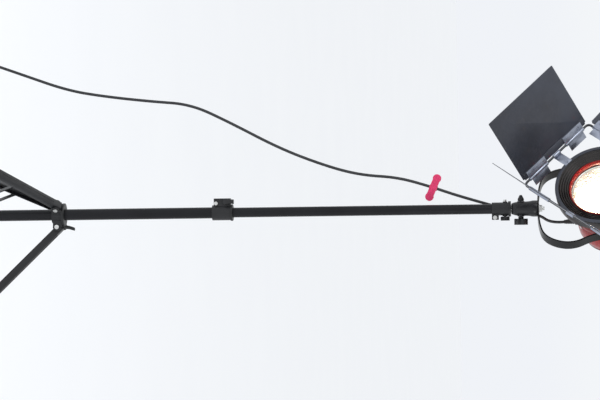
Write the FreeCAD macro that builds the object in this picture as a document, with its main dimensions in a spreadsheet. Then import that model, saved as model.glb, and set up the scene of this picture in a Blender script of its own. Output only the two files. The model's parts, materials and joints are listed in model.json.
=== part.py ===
import FreeCAD, Part
import math
import os
import Sketcher
from FreeCAD import Placement, Rotation, Vector

# Open-face halogen studio lamp with barn doors, on a three-section folding stand.
# Millimetres. +Z is up, the origin is on the column's axis at floor level,
# and -Y is the side that the lamp's user stands on.

os.makedirs("parts", exist_ok=True)
doc = FreeCAD.newDocument("StudioLamp")
sheet = doc.addObject("Spreadsheet::Sheet", "Sizes")

DRIVING_SIZES = {
    # Column tubes
    "lower_tube_radius": 12.5,
    "tube_wall": 1.2,
    "slide_gap": 0.3,
    "clamp_gap": 0.05,
    "lower_tube_top": 893.0,
    "mid_tube_top": 1515.0,
    "top_tube_top": 1536.5,
    "tube_overlap": 80.0,
    "top_tube_length": 680.0,
    # Folding legs
    "leg_length": 716.0,
    "leg_spread": 45.0,
    "leg_width": 17.0,
    "leg_inset": 4.0,
    "leg_outset": 12.0,
    "leg_sheet": 1.5,
    "leg_rib": 1.2,
    "leg_ground_gap": 7.0,
    "collar_pivot_reach": 17.5,
    "hub_pivot_reach": 6.5,
    "brace_length": 186.0,
    "brace_station": 200.0,
    "brace_bar_width": 12.0,
    "brace_bar_sheet": 2.5,
    "brace_side_gap": 0.7,
    "leg_pin_radius": 3.0,
    "brace_pin_radius": 2.5,
    "pin_gap": 0.05,
    "foot_wall": 3.0,
    "foot_length": 44.0,
    # Clamps on the column
    "collar_wall": 7.0,
    "clamp_wall": 4.5,
    "clamp_height": 46.0,
    "clamp_slot": 1.5,
    "upper_clamp_wall": 3.5,
    "upper_clamp_height": 42.0,
    # Spigot, receiver and yoke
    "spigot_radius": 8.0,
    "receiver_radius": 16.0,
    "receiver_height": 57.0,
    "receiver_gap": 0.5,
    "yoke_width": 25.0,
    "yoke_sheet": 3.5,
    "yoke_drop": 152.0,
    "yoke_arm_reach": 77.5,
    "yoke_bulge": 103.0,
    "head_pan": 37.2,
    "head_dip": 7.5,
    # Lamp head
    "housing_radius": 72.0,
    "housing_wall": 3.0,
    "dish_radius": 99.5,
    "ring_radius": 105.0,
    "ring_opening": 75.0,
    "ring_front": 84.0,
    "housing_back": 80.0,
    "reflector_radius": 68.5,
    "reflector_throat": 18.0,
    "reflector_front": 62.0,
    "reflector_sheet": 1.0,
    "lamp_length": 74.0,
    "lamp_radius": 5.0,
    "focus_screw_radius": 3.0,
    "tilt_bolt_radius": 5.0,
    # Barn doors
    "rod_radius": 2.75,
    "door_overhang": 30.0,
    "rod_advance": 3.0,
    "leaf_depth": 170.0,
    "leaf_sheet": 1.2,
    "leaf_end_gap": 3.0,
    "knuckle_wall": 1.6,
    # Mains cord
    "cord_radius": 3.25,
    "coil_radius": 36.0,
    "coil_turns_across": 2.0,
    "coil_turns_high": 3.0,
}

for row, (alias, figure) in enumerate(DRIVING_SIZES.items(), start=1):
    sheet.set(f"A{row}", alias.replace("_", " "))
    sheet.set(f"B{row}", str(figure))
    sheet.setAlias(f"B{row}", alias)
doc.recompute()


class Size:
    """A length that carries both its number and the sheet expression behind it."""

    def __init__(self, number, words):
        self.number = number
        self.words = words

    def __float__(self):
        return self.number

    def __add__(self, other):
        return Size(float(self) + float(other), f"({self.words} + {words_of(other)})")

    def __radd__(self, other):
        return Size(float(other) + float(self), f"({words_of(other)} + {self.words})")

    def __sub__(self, other):
        return Size(float(self) - float(other), f"({self.words} - {words_of(other)})")

    def __rsub__(self, other):
        return Size(float(other) - float(self), f"({words_of(other)} - {self.words})")

    def __mul__(self, other):
        return Size(float(self) * float(other), f"({self.words} * {words_of(other)})")

    def __rmul__(self, other):
        return Size(float(other) * float(self), f"({words_of(other)} * {self.words})")

    def __truediv__(self, other):
        return Size(float(self) / float(other), f"({self.words} / {words_of(other)})")

    def __neg__(self):
        return Size(-float(self), f"(-{self.words})")


def words_of(value):
    return value.words if isinstance(value, Size) else repr(float(value))


def read(alias):
    return Size(float(sheet.get(alias)), f"Sizes.{alias}")


nodes = {}
counter = {"made": 0}


def fresh(kind, prefix):
    counter["made"] += 1
    return doc.addObject(kind, f"{prefix}{counter['made']}")


def bind(thing, **sizes):
    for name, value in sizes.items():
        setattr(thing, name, float(value))
        if isinstance(value, Size):
            thing.setExpression(name, value.words)
    return thing


def facing(axis):
    """The turn that brings +Z onto the given axis."""
    return Rotation(Vector(0, 0, 1), Vector(*axis))


def place(thing, spot, turn=None):
    x, y, z = (float(value) for value in spot)
    thing.Placement = Placement(Vector(x, y, z), turn or Rotation())
    if turn is None:
        for letter, value in zip("xyz", spot):
            if isinstance(value, Size):
                thing.setExpression(f"Placement.Base.{letter}", value.words)
    return thing


def rod(radius, height, spot=(0, 0, 0), axis=(0, 0, 1)):
    """A cylinder that starts at spot and runs along axis."""
    thing = bind(fresh("Part::Cylinder", "Rod"), Radius=radius, Height=height)
    return place(thing, spot, None if axis == (0, 0, 1) else facing(axis))


def cone(radius, end_radius, height, spot=(0, 0, 0), axis=(0, 0, 1)):
    thing = bind(fresh("Part::Cone", "Cone"), Radius1=radius, Radius2=end_radius, Height=height)
    return place(thing, spot, None if axis == (0, 0, 1) else facing(axis))


def block(low, high):
    """A box between two opposite corners."""
    spans = [b - a for a, b in zip(low, high)]
    return place(bind(fresh("Part::Box", "Block"), Length=spans[0], Width=spans[1], Height=spans[2]), low)


def joined(*things):
    thing = fresh("Part::MultiFuse", "Joined")
    thing.Shapes = list(things)
    return thing


def grouped(*things):
    thing = fresh("Part::Compound", "Group")
    thing.Links = list(things)
    return thing


def less(base, *tools):
    thing = fresh("Part::Cut", "Cut")
    thing.Base = base
    thing.Tool = tools[0] if len(tools) == 1 else grouped(*tools)
    return thing


def shaped(shape):
    """A plain feature for bent wire and strip, which follow a path."""
    thing = fresh("Part::Feature", "Bent")
    thing.Shape = shape
    return thing


def sketched(body, plane, corners):
    """A closed outline through corners, each coordinate held from the sketch's origin."""
    sketch = body.newObject("Sketcher::SketchObject", f"Outline{counter['made']}")
    sketch.AttachmentSupport = ([o for o in body.Origin.OriginFeatures if o.Role == plane][0], [""])
    sketch.MapMode = "FlatFace"
    spots = [Vector(float(x), float(y), 0) for x, y in corners]
    for index, spot in enumerate(spots):
        sketch.addGeometry(Part.LineSegment(spot, spots[(index + 1) % len(spots)]), False)
    for index in range(len(spots)):
        sketch.addConstraint(Sketcher.Constraint("Coincident", index, 2, (index + 1) % len(spots), 1))
    for index, corner in enumerate(corners):
        for kind, value in zip(("DistanceX", "DistanceY"), corner):
            number = sketch.addConstraint(Sketcher.Constraint(kind, -1, 1, index, 1, float(value)))
            if isinstance(value, Size):
                sketch.setExpression(f"Constraints[{number}]", value.words)
    return sketch


def turned(*corners):
    """A body of revolution about Z from (radius, height) corners."""
    body = fresh("PartDesign::Body", "Turned")
    sketch = sketched(body, "XZ_Plane", corners)
    feature = body.newObject("PartDesign::Revolution", f"Revolution{counter['made']}")
    feature.Profile = sketch
    feature.ReferenceAxis = (sketch, ["V_Axis"])
    feature.Angle = 360
    return body


def plate(thickness, *corners, plane="XZ_Plane"):
    """A flat outline made into a plate, centred on its plane."""
    body = fresh("PartDesign::Body", "Plate")
    sketch = sketched(body, plane, corners)
    feature = body.newObject("PartDesign::Pad", f"Pad{counter['made']}")
    feature.Profile = sketch
    feature.Midplane = True
    bind(feature, Length=thickness)
    return body


def keep(name, thing, frame=None):
    """Names a finished piece and carries it into its place in the assembly."""
    thing.Label = name
    if frame is not None:
        own = thing.Placement
        for letter in "xyz":
            thing.setExpression(f"Placement.Base.{letter}", None)
        thing.Placement = frame.multiply(own)
    nodes[name] = thing
    return thing


def tangent_path(points, share=0.45, closed=False, radii=None):
    """Straight runs joined by tangent arcs, each as large as its two runs allow."""
    spots = [Vector(*(float(v) for v in point)) for point in points]
    count = len(spots)
    edges = []
    starts = {}
    ends = {}
    for index in range(count) if closed else range(1, count - 1):
        here = spots[index]
        before = spots[index - 1] - here
        after = spots[(index + 1) % count] - here
        half_turn = (math.pi - before.getAngle(after)) / 2
        trim = share * min(before.Length, after.Length)
        if radii is not None:
            radii.append(trim / math.tan(half_turn))
        start = here + before.normalize() * trim
        end = here + after.normalize() * trim
        inward = (before + after).normalize()
        centre = here + inward * (trim / math.sin(half_turn))
        middle = centre - inward * (trim / math.tan(half_turn))
        starts[index] = start
        ends[index] = (end, Part.Arc(start, middle, end).toShape())
    for index in range(count if closed else count - 1):
        following = (index + 1) % count
        run_start = ends[index][0] if index in ends else spots[index]
        run_end = starts[following] if following in starts else spots[following]
        edges.append(Part.LineSegment(run_start, run_end).toShape())
        if following in ends:
            edges.append(ends[following][1])
    return Part.Wire(edges)


def swept_round(path, radius):
    """Round stock along a path, whose volume must be its section times its length."""
    first = path.Edges[0]
    start = first.FirstParameter
    section = Part.makeCircle(float(radius), first.valueAt(start), first.tangentAt(start))
    tube = path.makePipeShell([Part.Wire([section])], True, False)
    ideal = math.pi * float(radius) ** 2 * path.Length
    if abs(tube.Volume - ideal) > 0.01 * ideal:
        raise ValueError(f"a swept round of {tube.Volume:.0f} mm3 should hold {ideal:.0f}")
    return tube


def mirrored_ends(maker):
    """The same small piece on both sides of X = 0."""
    return [maker(side) for side in (-1, 1)]


# ---------------------------------------------------------------- driving sizes by name
lower_tube_radius = read("lower_tube_radius")
tube_wall = read("tube_wall")
slide_gap = read("slide_gap")
mid_tube_radius = lower_tube_radius - tube_wall - slide_gap
top_tube_radius = mid_tube_radius - tube_wall - slide_gap
clamp_gap = read("clamp_gap")
pin_gap = read("pin_gap")
lower_tube_top = read("lower_tube_top")
mid_tube_top = read("mid_tube_top")
top_tube_top = read("top_tube_top")
tube_overlap = read("tube_overlap")
leg_width = read("leg_width")
leg_inset = read("leg_inset")
leg_outset = read("leg_outset")
leg_sheet = read("leg_sheet")
leg_length = read("leg_length")
collar_pivot_radius = lower_tube_radius + read("collar_pivot_reach")
hub_pivot_radius = lower_tube_radius + read("hub_pivot_reach")
brace_length = read("brace_length")
brace_station = read("brace_station")
brace_bar_width = read("brace_bar_width")
brace_bar_sheet = read("brace_bar_sheet")
leg_pin_radius = read("leg_pin_radius")
brace_pin_radius = read("brace_pin_radius")

# ---------------------------------------------------------------- the folding linkage
LEG_BEARINGS = (-10, 110, 230)
spread = math.radians(float(read("leg_spread")))
leg_pivot_height = (
    float(leg_length) * math.cos(spread)
    + float(leg_inset) * math.sin(spread)
    + float(read("leg_ground_gap"))
)
pivot_step = float(collar_pivot_radius) - float(hub_pivot_radius)
brace_reach = pivot_step + float(brace_station) * math.sin(spread)
brace_rise = math.sqrt(float(brace_length) ** 2 - brace_reach ** 2)
brace_lean = math.atan2(brace_reach, brace_rise)
hub_height = leg_pivot_height - float(brace_station) * math.cos(spread) - brace_rise
folded_rise = math.sqrt(float(brace_length) ** 2 - pivot_step ** 2)
fold_travel = hub_height + folded_rise + float(brace_station) - leg_pivot_height
brace_swing = brace_lean - math.atan2(pivot_step, folded_rise)
print(f"leg pivot height {leg_pivot_height:.2f}, hub height {hub_height:.2f}, fold travel {fold_travel:.2f}")
print(f"leg ratio {spread / fold_travel * 1000:.4f} rad/m")
print(f"brace ratio {-brace_swing / fold_travel * 1000:.4f} rad/m")

leg_half = leg_width / 2
bar_near = leg_half + read("brace_side_gap")
bar_far = bar_near + brace_bar_sheet
collar_frame = Placement(Vector(0, 0, leg_pivot_height), Rotation())
hub_frame = Placement(Vector(0, 0, hub_height), Rotation())


def bearing(degrees):
    return Placement(Vector(), Rotation(Vector(0, 0, 1), degrees))


def swung(radius, height, bearing_degrees, degrees):
    """A frame at a pivot on the given bearing, leaning about its tangential axis."""
    lean = Placement(Vector(float(radius), 0, height), Rotation(Vector(0, 1, 0), degrees))
    return bearing(bearing_degrees).multiply(lean)


# ---------------------------------------------------------------- stand base
tube_foot = hub_height - 20
keep("lower_tube", less(
    rod(lower_tube_radius, lower_tube_top - tube_foot, (0, 0, tube_foot)),
    rod(lower_tube_radius - tube_wall, lower_tube_top - tube_foot + 2, (0, 0, tube_foot - 1)),
))

# A plug closes the lower tube against floor dirt.
keep("tube_end_cap", joined(
    rod(lower_tube_radius, 3, (0, 0, tube_foot - 3)),
    rod(lower_tube_radius - tube_wall - clamp_gap, 12, (0, 0, tube_foot - 1)),
))

# The hub holds the braces' lower pivots on three tabs.
hub_outer = lower_tube_radius + 2.7
tab_half = leg_half - leg_sheet - 0.8


def hub_tab(degrees):
    tab = joined(
        block((hub_outer - 1.5, -tab_half, -8), (hub_pivot_radius, tab_half, 8)),
        rod(brace_pin_radius + 1.0, tab_half * 2, (hub_pivot_radius, -tab_half, 0), (0, 1, 0)),
    )
    bored = less(tab, rod(brace_pin_radius + pin_gap, 40, (hub_pivot_radius, -20, 0), (0, 1, 0)))
    bored.Placement = bearing(degrees)
    return bored


def hub_pin(degrees):
    pin = joined(
        rod(brace_pin_radius, bar_far * 2 + 1, (hub_pivot_radius, -bar_far - 0.5, 0), (0, 1, 0)),
        rod(4, 1.4, (hub_pivot_radius, bar_far + 0.3, 0), (0, 1, 0)),
        rod(4, 1.4, (hub_pivot_radius, -bar_far - 1.7, 0), (0, 1, 0)),
    )
    pin.Placement = bearing(degrees)
    return pin


keep("brace_hub", joined(
    less(
        rod(hub_outer, 22, (0, 0, -11)),
        rod(lower_tube_radius + clamp_gap, 26, (0, 0, -13)),
    ),
    *[hub_tab(degrees) for degrees in LEG_BEARINGS],
), hub_frame)
keep("hub_pins", grouped(*[hub_pin(degrees) for degrees in LEG_BEARINGS]), hub_frame)

# ---------------------------------------------------------------- leg collar, slides on the lower tube
ear_near = leg_half + 0.6
ear_far = ear_near + 3
collar_radius = lower_tube_radius + read("collar_wall")
COLLAR_KNOB_BEARING = 40
COLLAR_KNOB_RISE = 8.0


def collar_ears(degrees):
    ears = []
    for side in (-1, 1):
        low = ear_near if side > 0 else -ear_far
        ear = joined(
            block((lower_tube_radius + 0.5, low, -9), (collar_pivot_radius, low + 3, 11.5)),
            rod(9, 3, (collar_pivot_radius, low, 0), (0, 1, 0)),
        )
        bored = less(ear, rod(leg_pin_radius + pin_gap, 5, (collar_pivot_radius, low - 1, 0), (0, 1, 0)))
        bored.Placement = bearing(degrees)
        ears.append(bored)
    return ears


def leg_rivet(degrees):
    rivet = joined(
        rod(leg_pin_radius, ear_far * 2 + 0.6, (collar_pivot_radius, -ear_far - 0.3, 0), (0, 1, 0)),
        rod(5, 1.8, (collar_pivot_radius, ear_far + 0.1, 0), (0, 1, 0)),
        rod(5, 1.8, (collar_pivot_radius, -ear_far - 1.9, 0), (0, 1, 0)),
    )
    rivet.Placement = bearing(degrees)
    return rivet


knob_boss = rod(6.5, 17, (lower_tube_radius + 0.5, 0, COLLAR_KNOB_RISE), (1, 0, 0))
knob_bore = rod(2.55, 30, (lower_tube_radius - 2.5, 0, COLLAR_KNOB_RISE), (1, 0, 0))
boss_turned = less(knob_boss, knob_bore)
boss_turned.Placement = bearing(COLLAR_KNOB_BEARING)
bore_turned = rod(2.55, 30, (0, 0, 0), (1, 0, 0))
bore_turned.Placement = bearing(COLLAR_KNOB_BEARING).multiply(
    Placement(Vector(float(lower_tube_radius) - 2.5, 0, COLLAR_KNOB_RISE), facing((1, 0, 0))))
keep("leg_collar", less(
    joined(
        rod(collar_radius, 28, (0, 0, -12)),
        rod(collar_radius + 6.5, 5, (0, 0, 11)),
        boss_turned,
        *[ear for degrees in LEG_BEARINGS for ear in collar_ears(degrees)],
    ),
    rod(lower_tube_radius + slide_gap, 40, (0, 0, -20)),
    bore_turned,
), collar_frame)
keep("leg_rivets", grouped(*[leg_rivet(degrees) for degrees in LEG_BEARINGS]), collar_frame)

# The collar's clamp screw has a one-sided wing that stands up.
knob_start = lower_tube_radius + 18.5
keep("collar_knob", joined(
    rod(2.5, 20, (lower_tube_radius + 1.5, 0, 0), (1, 0, 0)),
    rod(7.5, 9, (knob_start, 0, 0), (1, 0, 0)),
    plate(7, (knob_start + 2, 0), (knob_start + 8.5, 0), (knob_start + 16, 25), (knob_start + 10, 25)),
), collar_frame.multiply(bearing(COLLAR_KNOB_BEARING)).multiply(
    Placement(Vector(0, 0, COLLAR_KNOB_RISE), Rotation())))

# ---------------------------------------------------------------- legs, feet and braces
FOOT_BORE_GAP = 0.1
foot_wall = read("foot_wall")
foot_length = read("foot_length")
LEG_HEAD = 7.0


def leg_channel():
    """A pressed channel, open towards the column, with a raised rib down its back.

    The frame is at the leg's pivot: +X is the leg's outer side and the leg runs along -Z.
    """
    outer = block((-leg_inset, -leg_half, -leg_length), (leg_outset, leg_half, LEG_HEAD))
    hollow_half = leg_half - leg_sheet
    hollow = block((-leg_inset - 1, -hollow_half, -leg_length - 1),
                   (leg_outset - leg_sheet, hollow_half, LEG_HEAD + 1))
    rib = block((leg_outset - 0.5, -2.2, -leg_length + 40), (leg_outset + read("leg_rib"), 2.2, -12))
    return less(joined(outer, rib), hollow,
                rod(leg_pin_radius + pin_gap, 40, (0, -20, 0), (0, 1, 0)))


def foot_boot():
    """A rubber boot over the leg's end, cut level with the floor."""
    floor_drop = leg_pivot_height / math.cos(spread)
    inner = block((-leg_inset - FOOT_BORE_GAP, -leg_half - FOOT_BORE_GAP, -leg_length - FOOT_BORE_GAP),
                  (leg_outset + read("leg_rib") + FOOT_BORE_GAP, leg_half + FOOT_BORE_GAP, -500))
    outer = block((-leg_inset - foot_wall, -leg_half - foot_wall, -leg_length - 18),
                  (leg_outset + foot_wall + 1, leg_half + foot_wall, -leg_length - 18 + foot_length))
    ground = rod(400, 200, (0, 0, -floor_drop), (-math.sin(spread), 0, -math.cos(spread)))
    return less(outer, inner, ground)


def brace_bars():
    """Two flat bars that straddle the leg; +Z runs from the hub pivot to the leg."""
    bars = []
    for side in (-1, 1):
        low = bar_near if side > 0 else -bar_far
        head_low = bar_far - 0.2 if side > 0 else -bar_far - 1.3
        bar = less(
            joined(
                block((-brace_bar_width / 2, low, 0),
                      (brace_bar_width / 2, low + brace_bar_sheet, brace_length)),
                rod(brace_bar_width / 2, brace_bar_sheet, (0, low, 0), (0, 1, 0)),
                rod(brace_bar_width / 2, brace_bar_sheet, (0, low, brace_length), (0, 1, 0)),
                rod(4, 1.5, (0, head_low, brace_length), (0, 1, 0)),
            ),
            rod(brace_pin_radius + pin_gap, brace_bar_sheet + 2, (0, low - 1, 0), (0, 1, 0)),
        )
        bars.append(bar)
    return grouped(*bars)


for number, degrees in enumerate(LEG_BEARINGS, start=1):
    leg_frame = swung(collar_pivot_radius, leg_pivot_height, degrees, -math.degrees(spread))
    keep(f"leg_{number}", leg_channel(), leg_frame)
    keep(f"foot_{number}", foot_boot(), leg_frame)
    brace_frame = swung(hub_pivot_radius, hub_height, degrees, math.degrees(brace_lean))
    keep(f"brace_{number}", brace_bars(), brace_frame)

# ---------------------------------------------------------------- lower clamp, fixed on the lower tube
clamp_radius = lower_tube_radius + read("clamp_wall")
clamp_height = read("clamp_height")
clamp_slot_half = read("clamp_slot") / 2
clamp_bottom = lower_tube_top - clamp_height / 2 - 1
clamp_bolt_x = float(-clamp_radius - 8)
low_bolt_x = clamp_bolt_x + 4
keep("lower_clamp", less(
    joined(
        rod(clamp_radius, clamp_height, (0, 0, clamp_bottom)),
        block((-clamp_radius - 15, -9, clamp_bottom + 4),
              (-clamp_radius + 5, 9, clamp_bottom + clamp_height - 5)),
        rod(clamp_radius + 1.5, 5, (0, 0, clamp_bottom + clamp_height - 5)),
    ),
    rod(lower_tube_radius + clamp_gap, clamp_height, (0, 0, lower_tube_top - clamp_height)),
    rod(mid_tube_radius + slide_gap, clamp_height, (0, 0, lower_tube_top - 1)),
    block((-clamp_radius - 23, -clamp_slot_half, lower_tube_top + 0.5),
          (-5, clamp_slot_half, lower_tube_top + clamp_height)),
    rod(3.2, 40, (clamp_bolt_x, -20, lower_tube_top + 8), (0, 1, 0)),
    rod(2.7, 14, (low_bolt_x, -10, clamp_bottom + 9), (0, 1, 0)),
))
keep("lower_clamp_screws", grouped(
    joined(
        rod(3, 18, (clamp_bolt_x, -8.8, lower_tube_top + 8), (0, 1, 0)),
        rod(5.5, 4.5, (clamp_bolt_x, 9.1, lower_tube_top + 8), (0, 1, 0)),
    ),
    joined(
        rod(2.5, 12, (low_bolt_x, -9, clamp_bottom + 9), (0, 1, 0)),
        rod(4.2, 2.4, (low_bolt_x, -11.4, clamp_bottom + 9), (0, 1, 0)),
    ),
))
# Its tightening lever flares towards its end.
keep("lower_clamp_lever", joined(
    rod(7, 8, (clamp_bolt_x, -17.3, lower_tube_top + 8), (0, 1, 0)),
    place(plate(6, (-4.5, 0), (4.5, 0), (6.5, 17), (-4.5, 19)),
          (clamp_bolt_x, -14.3, lower_tube_top + 8)),
))

# ---------------------------------------------------------------- middle tube and its upper clamp
mid_tube_foot = lower_tube_top - tube_overlap
keep("mid_tube", less(
    rod(mid_tube_radius, mid_tube_top - mid_tube_foot, (0, 0, mid_tube_foot)),
    rod(mid_tube_radius - tube_wall, mid_tube_top - mid_tube_foot + 2, (0, 0, mid_tube_foot - 1)),
))
upper_clamp_radius = mid_tube_radius + read("upper_clamp_wall")
upper_clamp_height = read("upper_clamp_height")
upper_clamp_foot = mid_tube_top - upper_clamp_height / 2
upper_knob_height = mid_tube_top + 8
keep("upper_clamp", less(
    joined(
        rod(upper_clamp_radius, upper_clamp_height, (0, 0, upper_clamp_foot)),
        rod(upper_clamp_radius + 2.5, 6, (0, 0, upper_clamp_foot + upper_clamp_height - 6)),
        block((6, -8, upper_clamp_foot), (24, 8, upper_clamp_foot + 15)),
        rod(6, 16.5, (0, 0, upper_knob_height), (1, 0, 0)),
        rod(5, 16.5, (0, 0, upper_knob_height), (-1, 0, 0)),
    ),
    rod(mid_tube_radius + clamp_gap, upper_clamp_height, (0, 0, mid_tube_top - upper_clamp_height)),
    rod(top_tube_radius + slide_gap, upper_clamp_height, (0, 0, mid_tube_top - 1)),
    block((5, -clamp_slot_half, upper_clamp_foot - 1), (30, clamp_slot_half, upper_clamp_foot + 16)),
    rod(2.7, 30, (19, -15, upper_clamp_foot + 7), (0, 1, 0)),
    rod(2.55, 40, (-20, 0, upper_knob_height), (1, 0, 0)),
))
keep("upper_clamp_screws", grouped(
    joined(
        rod(2.5, 20, (19, -8.6, upper_clamp_foot + 7), (0, 1, 0)),
        rod(4.5, 2.6, (19, -11, upper_clamp_foot + 7), (0, 1, 0)),
        rod(4.5, 3.6, (19, 8.2, upper_clamp_foot + 7), (0, 1, 0)),
    ),
    joined(
        rod(2.5, 10, (-10.5, 0, upper_knob_height), (-1, 0, 0)),
        rod(3.4, 3.4, (-17.2, 0, upper_knob_height), (-1, 0, 0)),
    ),
))
keep("upper_clamp_knob", joined(
    rod(2.5, 9, (10.5, 0, upper_knob_height), (1, 0, 0)),
    rod(10, 9, (17, 0, upper_knob_height), (1, 0, 0)),
))

# ---------------------------------------------------------------- top tube and spigot
top_tube_foot = top_tube_top - read("top_tube_length")
spigot_radius = read("spigot_radius")
receiver_gap = read("receiver_gap")
receiver_height = read("receiver_height")
receiver_foot = top_tube_top + receiver_gap
keep("top_tube", less(
    rod(top_tube_radius, read("top_tube_length"), (0, 0, top_tube_foot)),
    rod(top_tube_radius - tube_wall, read("top_tube_length") + 2, (0, 0, top_tube_foot - 1)),
))
spigot_head = receiver_foot + receiver_height - 8
keep("spigot", joined(
    rod(top_tube_radius - tube_wall - clamp_gap, 42, (0, 0, top_tube_top - 42)),
    rod(spigot_radius, spigot_head - top_tube_top, (0, 0, top_tube_top)),
))

# ---------------------------------------------------------------- receiver, turns on the spigot
receiver_radius = read("receiver_radius")
receiver_top = receiver_foot + receiver_height
receiver_bore = spigot_radius + 0.09
stud_radius = Size(4.0, "4.0")
RECEIVER_KNOB_HEIGHT = float(receiver_foot) + 21
keep("receiver", less(
    turned(
        (0, receiver_foot), (11.5, receiver_foot), (receiver_radius - 1, receiver_foot + 10),
        (receiver_radius, receiver_foot + 36), (receiver_radius + 2, receiver_foot + 50),
        (receiver_radius + 2, receiver_top), (0, receiver_top),
    ),
    rod(receiver_bore, receiver_height - 7, (0, 0, receiver_foot)),
    rod(stud_radius + clamp_gap, 20, (0, 0, receiver_top - 10)),
    rod(3.05, 60, (-30, 0, RECEIVER_KNOB_HEIGHT), (1, 0, 0)),
))
keep("receiver_screw", joined(
    rod(3, 10, (-8.6, 0, RECEIVER_KNOB_HEIGHT), (-1, 0, 0)),
    rod(7, 4, (-17, 0, RECEIVER_KNOB_HEIGHT), (-1, 0, 0)),
    cone(7, 2.8, 9.5, (-21, 0, RECEIVER_KNOB_HEIGHT), (-1, 0, 0)),
))


def knob_lobe(degrees):
    return rod(4.6, 13, (22, 10.4 * math.cos(math.radians(degrees)),
                         RECEIVER_KNOB_HEIGHT + 10.4 * math.sin(math.radians(degrees))), (1, 0, 0))


keep("receiver_knob", joined(
    rod(3, 10, (8.6, 0, RECEIVER_KNOB_HEIGHT), (1, 0, 0)),
    rod(6, 6, (17, 0, RECEIVER_KNOB_HEIGHT), (1, 0, 0)),
    rod(10.5, 14, (22, 0, RECEIVER_KNOB_HEIGHT), (1, 0, 0)),
    *[knob_lobe(degrees) for degrees in range(30, 390, 60)],
))

# ---------------------------------------------------------------- yoke, a bent flat strip
yoke_sheet = read("yoke_sheet")
yoke_width = read("yoke_width")
yoke_drop = read("yoke_drop")
yoke_arm_reach = read("yoke_arm_reach")
yoke_bulge = read("yoke_bulge")
tilt_bolt_radius = read("tilt_bolt_radius")
tilt_height = float(receiver_top) + float(yoke_sheet) / 2 + float(yoke_drop)
yoke_turn = Rotation(Vector(0, 0, 1), -float(read("head_pan")))
head_turn = yoke_turn.multiply(Rotation(Vector(1, 0, 0), 90 + float(read("head_dip"))))
yoke_frame = Placement(Vector(0, 0, tilt_height), yoke_turn)
head_frame = Placement(Vector(0, 0, tilt_height), head_turn)

half_strip = [
    (float(yoke_arm_reach), 0, 15),
    (float(yoke_arm_reach), 0, -28),
    (float(yoke_bulge) + 4, 0, -80),
    (float(yoke_bulge) - 14, 0, -137),
    (44, 0, -float(yoke_drop)),
]
strip_points = half_strip + [(-x, y, z) for x, y, z in reversed(half_strip)]
strip_path = tangent_path(strip_points)
half_sheet = float(yoke_sheet) / 2
half_width = float(yoke_width) / 2
strip_section = Part.makePolygon([
    Vector(float(yoke_arm_reach) + dx, dy, 15)
    for dx, dy in (
        (-half_sheet, -half_width), (half_sheet, -half_width), (half_sheet, half_width),
        (-half_sheet, half_width), (-half_sheet, -half_width),
    )
])
strip = shaped(strip_path.makePipeShell([strip_section], True, False))
arm_ends = [
    rod(half_width, yoke_sheet, (side * float(yoke_arm_reach) - half_sheet, 0, 15), (1, 0, 0))
    for side in (-1, 1)
]
keep("yoke", less(
    joined(strip, *arm_ends),
    rod(tilt_bolt_radius + 0.08, 240, (-120, 0, 0), (1, 0, 0)),
    rod(stud_radius + clamp_gap, 20, (0, 0, -float(yoke_drop) - 10)),
), yoke_frame)

yoke_floor = receiver_top + yoke_sheet
keep("yoke_bolt", joined(
    rod(stud_radius, 22, (0, 0, receiver_top - 6)),
    rod(10, 1.4, (0, 0, yoke_floor + 0.1)),
    less(
        place(bind(fresh("Part::Prism", "Nut"), Circumradius=7.6, Height=6), (0, 0, yoke_floor + 1.4)),
        rod(3.5, 10, (0, 0, yoke_floor)),
    ),
))

# ---------------------------------------------------------------- lamp head
# The head's own frame has its origin on the tilt axis, X along that axis,
# Y up and Z forwards along the beam.
housing_radius = read("housing_radius")
housing_wall = read("housing_wall")
dish_radius = read("dish_radius")
ring_radius = read("ring_radius")
ring_opening = read("ring_opening")
ring_front = read("ring_front")
housing_back = read("housing_back")
reflector_radius = read("reflector_radius")
reflector_throat = read("reflector_throat")
reflector_front = read("reflector_front")
reflector_sheet = read("reflector_sheet")
SHELL_SPLIT = -14.0
dish_rim = ring_front - 14
keep("housing_front", less(
    turned(
        (dish_radius, dish_rim), (dish_radius, dish_rim - 12), (housing_radius + 1, 17),
        (housing_radius, SHELL_SPLIT + 0.1), (housing_radius - housing_wall, SHELL_SPLIT + 0.1),
        (housing_radius + 1 - housing_wall, 18.2), (dish_radius - housing_wall, dish_rim - 10.8),
        (dish_radius - housing_wall, dish_rim - 3), (reflector_radius + 1.5, dish_rim - 3),
        (ring_opening - 2.6, ring_front - 8), (ring_opening - 0.3, ring_front - 8),
        (ring_opening - 0.3, dish_rim),
    ),
    rod(tilt_bolt_radius + 0.05, 240, (-120, 0, 0), (1, 0, 0)),
), head_frame)


def vent(degrees):
    slot = block((housing_radius - 20, -2.2, -float(housing_back) + 24),
                 (housing_radius + 10, 2.2, SHELL_SPLIT - 10))
    slot.setExpression("Placement.Base.x", None)
    slot.Placement = Placement(Vector(), Rotation(Vector(0, 0, 1), degrees)).multiply(slot.Placement)
    return slot


GLAND_STATION = -38.0
keep("housing_rear", less(
    turned(
        (housing_radius, SHELL_SPLIT - 0.1), (housing_radius - 2, -55), (housing_radius - 11, -housing_back),
        (housing_radius - 14, -housing_back), (housing_radius - 2 - housing_wall, -54),
        (housing_radius - housing_wall, SHELL_SPLIT - 0.1),
    ),
    *[vent(degrees) for degrees in range(42, 139, 12)],
    *[vent(degrees) for degrees in (-4, 8, 172, 184)],
    rod(6.1, 30, (0, -housing_radius + 22, GLAND_STATION), (0, -1, 0)),
), head_frame)

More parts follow.
